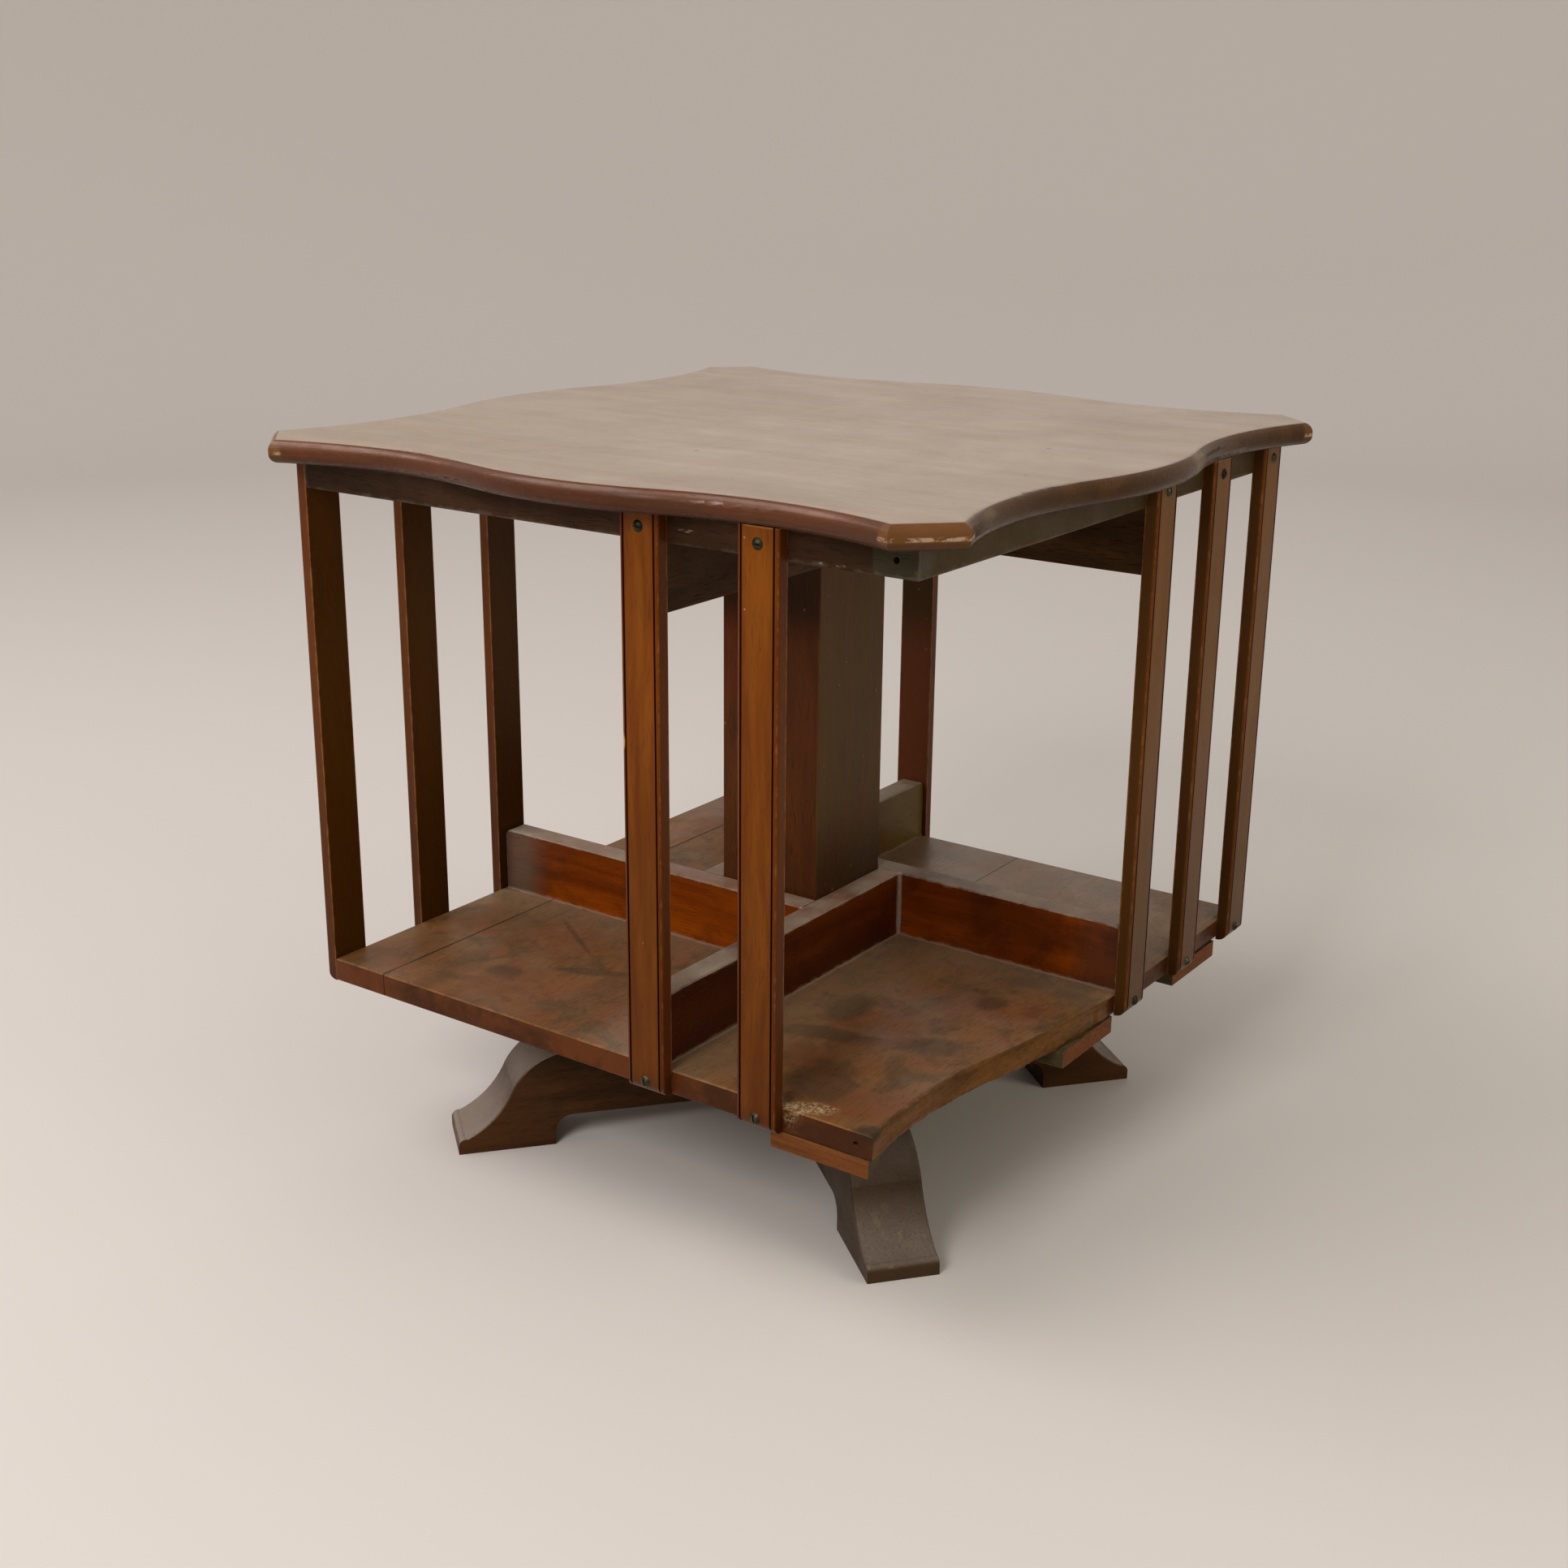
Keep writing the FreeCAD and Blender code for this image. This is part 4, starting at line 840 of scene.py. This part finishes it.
def shelf_finish(node_name, seed):
    finish, tree, shader, place, normal, board = start_finish(node_name + "_stain", "Y", seed)
    x, y = split(tree, place)[:2]
    upward = split(tree, normal)["Z"]
    top_face = ramp(tree, upward, 0.5, 0.9)
    wood = use(tree, grain, Vector=board, Pale=SHELF_PALE, Dark=SHELF_DARK, Streaks=45.0, Fibre=0.12,
               Pores=0.18)
    wear = use(tree, rubs, Vector=place, Patches=17.0, Scratches=1.0)
    broad = use(tree, rubs, Vector=place, Patches=8.0)
    colour = wood["Color"]
    for shift, scale, start, full, share, stain in SHELF_CLOUDS:
        cloud = noise(tree, vector_calc(tree, "ADD", place, (shift, shift, 0)), scale, 5, 0.62, 0.9)
        colour = mix(tree, ramp(tree, cloud, start, full, 0, share), colour, stain)
    joint = band(tree, x, JOINT_AT - JOINT_HALF, JOINT_AT + JOINT_HALF, 0.0007)
    colour = lay(tree, SHELF_BLOT, 0.8, joint, colour)
    colour = lay(tree, SHELF_RED, 0.5, on_shelf(tree, place, SHELF_RED_MARKS), colour)
    colour = lay(tree, SHELF_BLOT, 0.65, on_shelf(tree, place, SHELF_BLOTS), colour)
    colour = lay(tree, SHELF_DARK, 0.5, wear["Scratch"], colour)

    # the sawn edges, and the break with its torn surface
    edge_colour = mix(tree, ramp(tree, wear["Patch"], 0.1, 0.8), SHELF_EDGE_DARK, SHELF_EDGE)
    colour = mix(tree, ramp(tree, upward, 0.6, 0.2), colour, edge_colour)
    if node_name == "shelf_plank_3":
        fresh = use(tree, grain, Vector=board, Pale=SHELF_FRESH, Dark=SHELF_FRESH_DARK, Streaks=160.0,
                    Fibre=0.5)
        broken = both(tree, ramp(tree, x, BREAK_FROM_X - 0.003, BREAK_FROM_X),
                      ramp(tree, split(tree, normal)["X"], 0.25, 0.5),
                      ramp(tree, y, BREAK_TO_Y, BREAK_TO_Y - 0.003))
        colour = mix(tree, broken, colour, fresh["Color"])
        colour = lay(tree, SHELF_TORN, 0.85, mark(tree, place, *TORN_MARK), colour)
        crumbs = both(tree, on_shelf(tree, place, SHELF_CRUMBS),
                      ramp(tree, noise(tree, place, 620.0, 4, 0.75), 0.42, 0.60))
        colour = lay(tree, SHELF_CRUMB, 0.75, crumbs, colour)

    # dust: a film on the whole top, more at the far side and near the rails, and a line along their feet
    gap = near_rails(tree, place)
    ragged = ramp(tree, noise(tree, place, 160.0, 3), 0.3, 0.7, 0.0011, 0.0030)
    line = both(tree, ramp(tree, calc(tree, "DIVIDE", gap, ragged), 1.0, 0.5), top_face)
    far = both(tree, ramp(tree, y, 0.030, 0.080), ramp(tree, x, -0.060, 0.020))
    haze = calc(tree, "MAXIMUM", ramp(tree, gap, 0.060, 0.0, 0, 0.35), calc(tree, "MULTIPLY", far, 0.4))
    extra = calc(tree, "MAXIMUM", calc(tree, "MULTIPLY", line, 0.8), both(tree, haze, top_face))
    coat = use(tree, dust, Vector=place, Color=colour, Dust=SHELF_DUST, Amount=0.10, Patches=12.0,
               Extra=extra)
    rough = roughened(tree, patchy(tree, wear, 0.50, 0.38), 0.8, coat["Mask"])
    polish = both(tree, ramp(tree, broad["Patch"], 0.2, 0.8, 0.0, 0.3), ramp(tree, upward, 0.6, 0.95))
    close_finish(tree, shader, wood["Height"], 0.00018, Base_Color=coat["Color"], Roughness=rough,
                 Coat_Weight=polish, Coat_Roughness=SHELF_COAT_ROUGHNESS)
    return finish


for number in (1, 2, 3):
    dress("shelf_plank_%d" % number, shelf_finish("shelf_plank_%d" % number, 50 + number))

# ---- broken edge of the shelf ----
# The right-hand plank as it is after its outer edge split away: the same board, splintered along the grain
# where the wood tore, with the upper arris of the break worn back.
SPLINTER_STEP = 0.0017      # how often the torn face is cut across
SPLINTER_LEVELS = (0.0968, 0.0995, 0.1025, 0.1048, 0.1063)
SPLINTER_DEEP = 0.0017
ARRIS_WORN = 0.0011

bm = bmesh.new()
bm.from_mesh(NODES["shelf_plank_3"].data)
bmesh.ops.remove_doubles(bm, verts=bm.verts, dist=1e-6)
bmesh.ops.dissolve_limit(bm, angle_limit=math.radians(0.5), verts=bm.verts, edges=bm.edges)
low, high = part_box("shelf_plank_3")
cuts = [((0, low.y + SPLINTER_STEP * (step + 0.5), 0), (0, 1, 0))
        for step in range(int((BREAK_TO_Y - low.y) / SPLINTER_STEP))]
cuts += [((0, 0, level), (0, 0, 1)) for level in SPLINTER_LEVELS]
for place, direction in cuts:
    bmesh.ops.bisect_plane(bm, geom=bm.verts[:] + bm.edges[:] + bm.faces[:], dist=1e-7, plane_co=place,
                           plane_no=direction)
torn = {vert for face in bm.faces for vert in face.verts
        if face.normal.x > 0.25 and BREAK_FROM_X - 0.002 < face.calc_center_median().x < high.x - 0.0003}
for vert in torn:
    y, z = vert.co.y, vert.co.z
    long_split = noise_at(Vector((y * 55, z * 420, 3)))
    short_split = noise_at(Vector((y * 330, z * 520, 9)))
    deep = SPLINTER_DEEP * (0.5 + 0.6 * long_split + 0.35 * short_split)
    if z > high.z - 0.0005:
        deep += ARRIS_WORN
    vert.co.x -= min(max(deep, 0), 2 * SPLINTER_DEEP)
bmesh.ops.recalc_face_normals(bm, faces=bm.faces)
broken_plank = link_mesh("broken_shelf_plank", bm)
broken_plank.data.materials.append(NODES["shelf_plank_3"].material_slots[0].material)
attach(broken_plank, "carousel")
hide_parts("shelf_plank_3")

# ---- bearers ----
# Plain sawn boards under the shelf, never varnished. Their long sides are a dark olive, and only
# the ends that come to the shelf's edge, and the split of the right one, show orange-brown wood.
BEARER_PALE = srgb(92, 80, 54)
BEARER_DARK = srgb(58, 50, 34)
BEARER_END = srgb(118, 68, 34)
BEARER_END_DARK = srgb(86, 46, 20)
BEARER_ROUGHNESS = 0.65


def bearer_finish(node_name, seed):
    lie = lies_along(node_name)
    finish, tree, shader, place, normal, board = start_finish(node_name + "_wood", lie, seed)
    wood = use(tree, grain, Vector=board, Pale=BEARER_PALE, Dark=BEARER_DARK, Streaks=60.0, Fibre=0.4,
               Pores=0.5)
    wear = use(tree, rubs, Vector=place, Patches=20.0)
    colour = shaded(tree, wood["Color"], patchy(tree, wear, 0.8, 1.15))
    end_wood = use(tree, grain, Vector=stretched(tree, place, 1, 1, 3), Pale=BEARER_END, Dark=BEARER_END_DARK,
                   Streaks=260.0, Fibre=0.3, Pores=0.3)
    end = ramp(tree, calc(tree, "ABSOLUTE", split(tree, normal)[lie]), 0.25, 0.6)
    colour = mix(tree, end, colour, end_wood["Color"])
    close_finish(tree, shader, wood["Height"], 0.0003, Base_Color=colour, Roughness=BEARER_ROUGHNESS)
    return finish


for seed, name in enumerate(("middle", "back", "front", "right", "left"), start=60):
    dress("bearer_" + name, bearer_finish("bearer_" + name, seed))
dress("top_block", bearer_finish("top_block", 66))

# ---- base cross ----
# Two beams halved over each other, with shaped ends, and the round block on their crossing. The stain is
# a dark red-brown on the sides, duller on the front foot; lilac-grey dust and scuffs cover all that faces up.
BASE_PALE = srgb(68, 42, 22)
BASE_DARK = srgb(38, 23, 12)
BASE_WARM = srgb(84, 50, 26)
BASE_OLIVE = srgb(52, 46, 34)
BASE_DUST = srgb(140, 126, 116)
BASE_TIP = srgb(146, 124, 96)
BASE_TURNS = {"base_beam_lower": 50, "base_beam_upper": -40, "base_boss": 50}       # how the grain lies
BASE_TIP_FROM = 0.170       # distance from the axis past which a beam's end is scuffed
BASE_TIP_FULL = 0.198


def base_finish(node_name, seed):
    finish, tree, shader, place, normal, board = start_finish(node_name + "_stain", "X", seed)
    board.node.inputs["Rotation"].default_value = (0, 0, -math.radians(BASE_TURNS[node_name]))
    x, y = split(tree, place)[:2]
    upward = split(tree, normal)["Z"]
    wood = use(tree, grain, Vector=board, Pale=BASE_PALE, Dark=BASE_DARK, Streaks=80.0, Fibre=0.3, Pores=0.4)
    wear = use(tree, rubs, Vector=place, Patches=24.0)
    colour = shaded(tree, wood["Color"], patchy(tree, wear, 0.85, 1.15))
    out = vector_calc(tree, "LENGTH", stretched(tree, place, 1, 1, 0))
    colour = mix(tree, ramp(tree, out, 0.14, 0.20, 0, 0.5), colour, BASE_WARM)
    front_foot = both(tree, ramp(tree, x, 0.0, 0.06), ramp(tree, y, 0.0, -0.06))
    colour = lay(tree, BASE_OLIVE, 0.65, front_foot, colour)
    scuff = both(tree, ramp(tree, noise(tree, stretched(tree, board, 0.4, 1, 1), 110.0, 4, 0.65), 0.56, 0.64),
                 ramp(tree, out, BASE_TIP_FROM, BASE_TIP_FULL), ramp(tree, upward, 0.2, 0.6))
    extra = both(tree, ramp(tree, upward, 0.2, 0.75), ramp(tree, x, 0.06, -0.06, 0.12, 0.48))
    coat = use(tree, dust, Vector=place, Color=colour, Dust=BASE_DUST,
               Amount=ramp(tree, x, 0.06, -0.06, 0.45, 1.0), Patches=18.0, Extra=extra)
    colour = lay(tree, BASE_TIP, 0.7, scuff, coat["Color"])
    rough = roughened(tree, patchy(tree, wear, 0.5, 0.38), 0.6, coat["Mask"])
    close_finish(tree, shader, wood["Height"], 0.0002, Base_Color=colour, Roughness=rough)
    return finish


for seed, name in enumerate(sorted(BASE_TURNS), start=70):
    dress(name, base_finish(name, seed))

# ---- bearings ----
# Steel spindle with its flange, nut and washer, and the brass hub, thrust washer and cup that run on it.
STEEL = srgb(112, 108, 104)
STEEL_DARK = srgb(58, 50, 44)
BRASS = srgb(168, 134, 74)
BRASS_DARK = srgb(92, 68, 36)


def metal_finish(name, bright, dull, seed):
    finish, tree, shader, place = start_finish(name, "Z", seed)[:4]
    wear = use(tree, rubs, Vector=place, Patches=70.0)
    turned = noise(tree, stretched(tree, place, 1, 1, 30), 90.0, 3)
    colour = shaded(tree, mix(tree, wear["Patch"], dull, bright), ramp(tree, turned, 0.3, 0.7, 0.8, 1.1))
    close_finish(tree, shader, turned, 0.00008, Base_Color=colour, Metallic=1.0,
                 Roughness=patchy(tree, wear, 0.55, 0.3), Specular_Tint=(1, 1, 1, 1))
    return finish


steel_finish = metal_finish("oiled_steel", STEEL, STEEL_DARK, 80)
brass_finish = metal_finish("tarnished_brass", BRASS, BRASS_DARK, 81)
for name in ("spindle", "nut_washer", "spindle_nut"):
    dress(name, steel_finish)
for name in ("hub", "thrust_washer", "spindle_cup"):
    dress(name, brass_finish)

# ---- screws ----
# Countersunk iron screws out of sight, and round-headed ones through the ends of every slat. The round
# heads are turned, slotted with a saw and blackened; years of rubbing give them a greenish glint.
SCREW = srgb(82, 80, 62)
SCREW_DARK = srgb(34, 30, 24)
SCREW_HEIGHTS = [(low + high).z / 2 for low, high in map(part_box, ("shelf_plank_1", "under_board"))]
HEAD_RADIUS = 0.0029
HEAD_RISE = 0.0015
HEAD_SUNK = 0.0004          # how far the rim runs into the slat
HEAD_STEPS = 4
HEAD_TURNS = 20
SLOT_WIDE = 0.0008
SLOT_FLOOR = 0.0006         # how far the slot's floor stands above the slat's face

screw_finish = metal_finish("blackened_iron", SCREW, SCREW_DARK, 82)
for name in ("flange_screws", "boss_screws", "hub_screws", "top_screws", "slat_screws"):
    dress(name, screw_finish)


def slotted_head(bm, base, outward, turn):
    """Add a domed head with a slot, standing on base and turned about its own axis."""
    head = bmesh.new()
    curve = (HEAD_RADIUS ** 2 + HEAD_RISE ** 2) / (2 * HEAD_RISE)
    reach = math.asin(HEAD_RADIUS / curve)
    profile = []
    for step in range(HEAD_STEPS + 1):
        angle = reach * step / HEAD_STEPS
        height = HEAD_RISE - curve * (1 - math.cos(angle))
        profile.append(head.verts.new((curve * math.sin(angle), 0, height)))
    profile.append(head.verts.new((HEAD_RADIUS, 0, -HEAD_SUNK)))
    edges = [head.edges.new(pair) for pair in zip(profile[:-1], profile[1:])]
    bmesh.ops.spin(head, geom=profile + edges, cent=(0, 0, 0), axis=(0, 0, 1), angle=2 * math.pi,
                   steps=HEAD_TURNS, use_merge=True)
    bmesh.ops.remove_doubles(head, verts=head.verts, dist=1e-6)
    for wall in (-SLOT_WIDE / 2, SLOT_WIDE / 2):
        bmesh.ops.bisect_plane(head, geom=head.verts[:] + head.edges[:] + head.faces[:], dist=1e-7,
                               plane_co=(wall, 0, 0), plane_no=(1, 0, 0))
    strip = [face for face in head.faces if abs(face.calc_center_median().x) < SLOT_WIDE / 2
             and face.calc_center_median().z > SLOT_FLOOR]
    cut = bmesh.ops.extrude_face_region(head, geom=strip)
    bmesh.ops.delete(head, geom=strip, context="FACES")
    for vert in (item for item in cut["geom"] if isinstance(item, bmesh.types.BMVert)):
        vert.co.z = min(vert.co.z, SLOT_FLOOR)
    bmesh.ops.remove_doubles(head, verts=head.verts, dist=1e-6)
    bmesh.ops.recalc_face_normals(head, faces=head.faces)
    stand = Vector(outward).to_track_quat("Z", "Y").to_matrix().to_4x4()
    bmesh.ops.transform(head, matrix=Matrix.Translation(base) @ stand @ Matrix.Rotation(turn, 4, "Z"),
                        verts=head.verts)
    mesh = bpy.data.meshes.new("head")
    head.to_mesh(mesh)
    head.free()
    bm.from_mesh(mesh)
    bpy.data.meshes.remove(mesh)


random.seed(7)
bm = bmesh.new()
for name in slat_names:
    outward = Vector(OUTWARD[name.split("_")[1]])
    low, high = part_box(name)
    middle = (low + high) / 2
    for height in SCREW_HEIGHTS:
        base = middle + outward * abs((high - low).dot(outward)) / 2
        slotted_head(bm, Vector((base.x, base.y, height)), outward, random.uniform(0, math.pi))
for face in bm.faces:
    face.smooth = True
heads = link_mesh("slat_screw_heads", bm)
heads.data.materials.append(screw_finish)
heads.data.set_sharp_from_angle(angle=math.radians(35))
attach(heads, "carousel")
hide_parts("slat_screws")
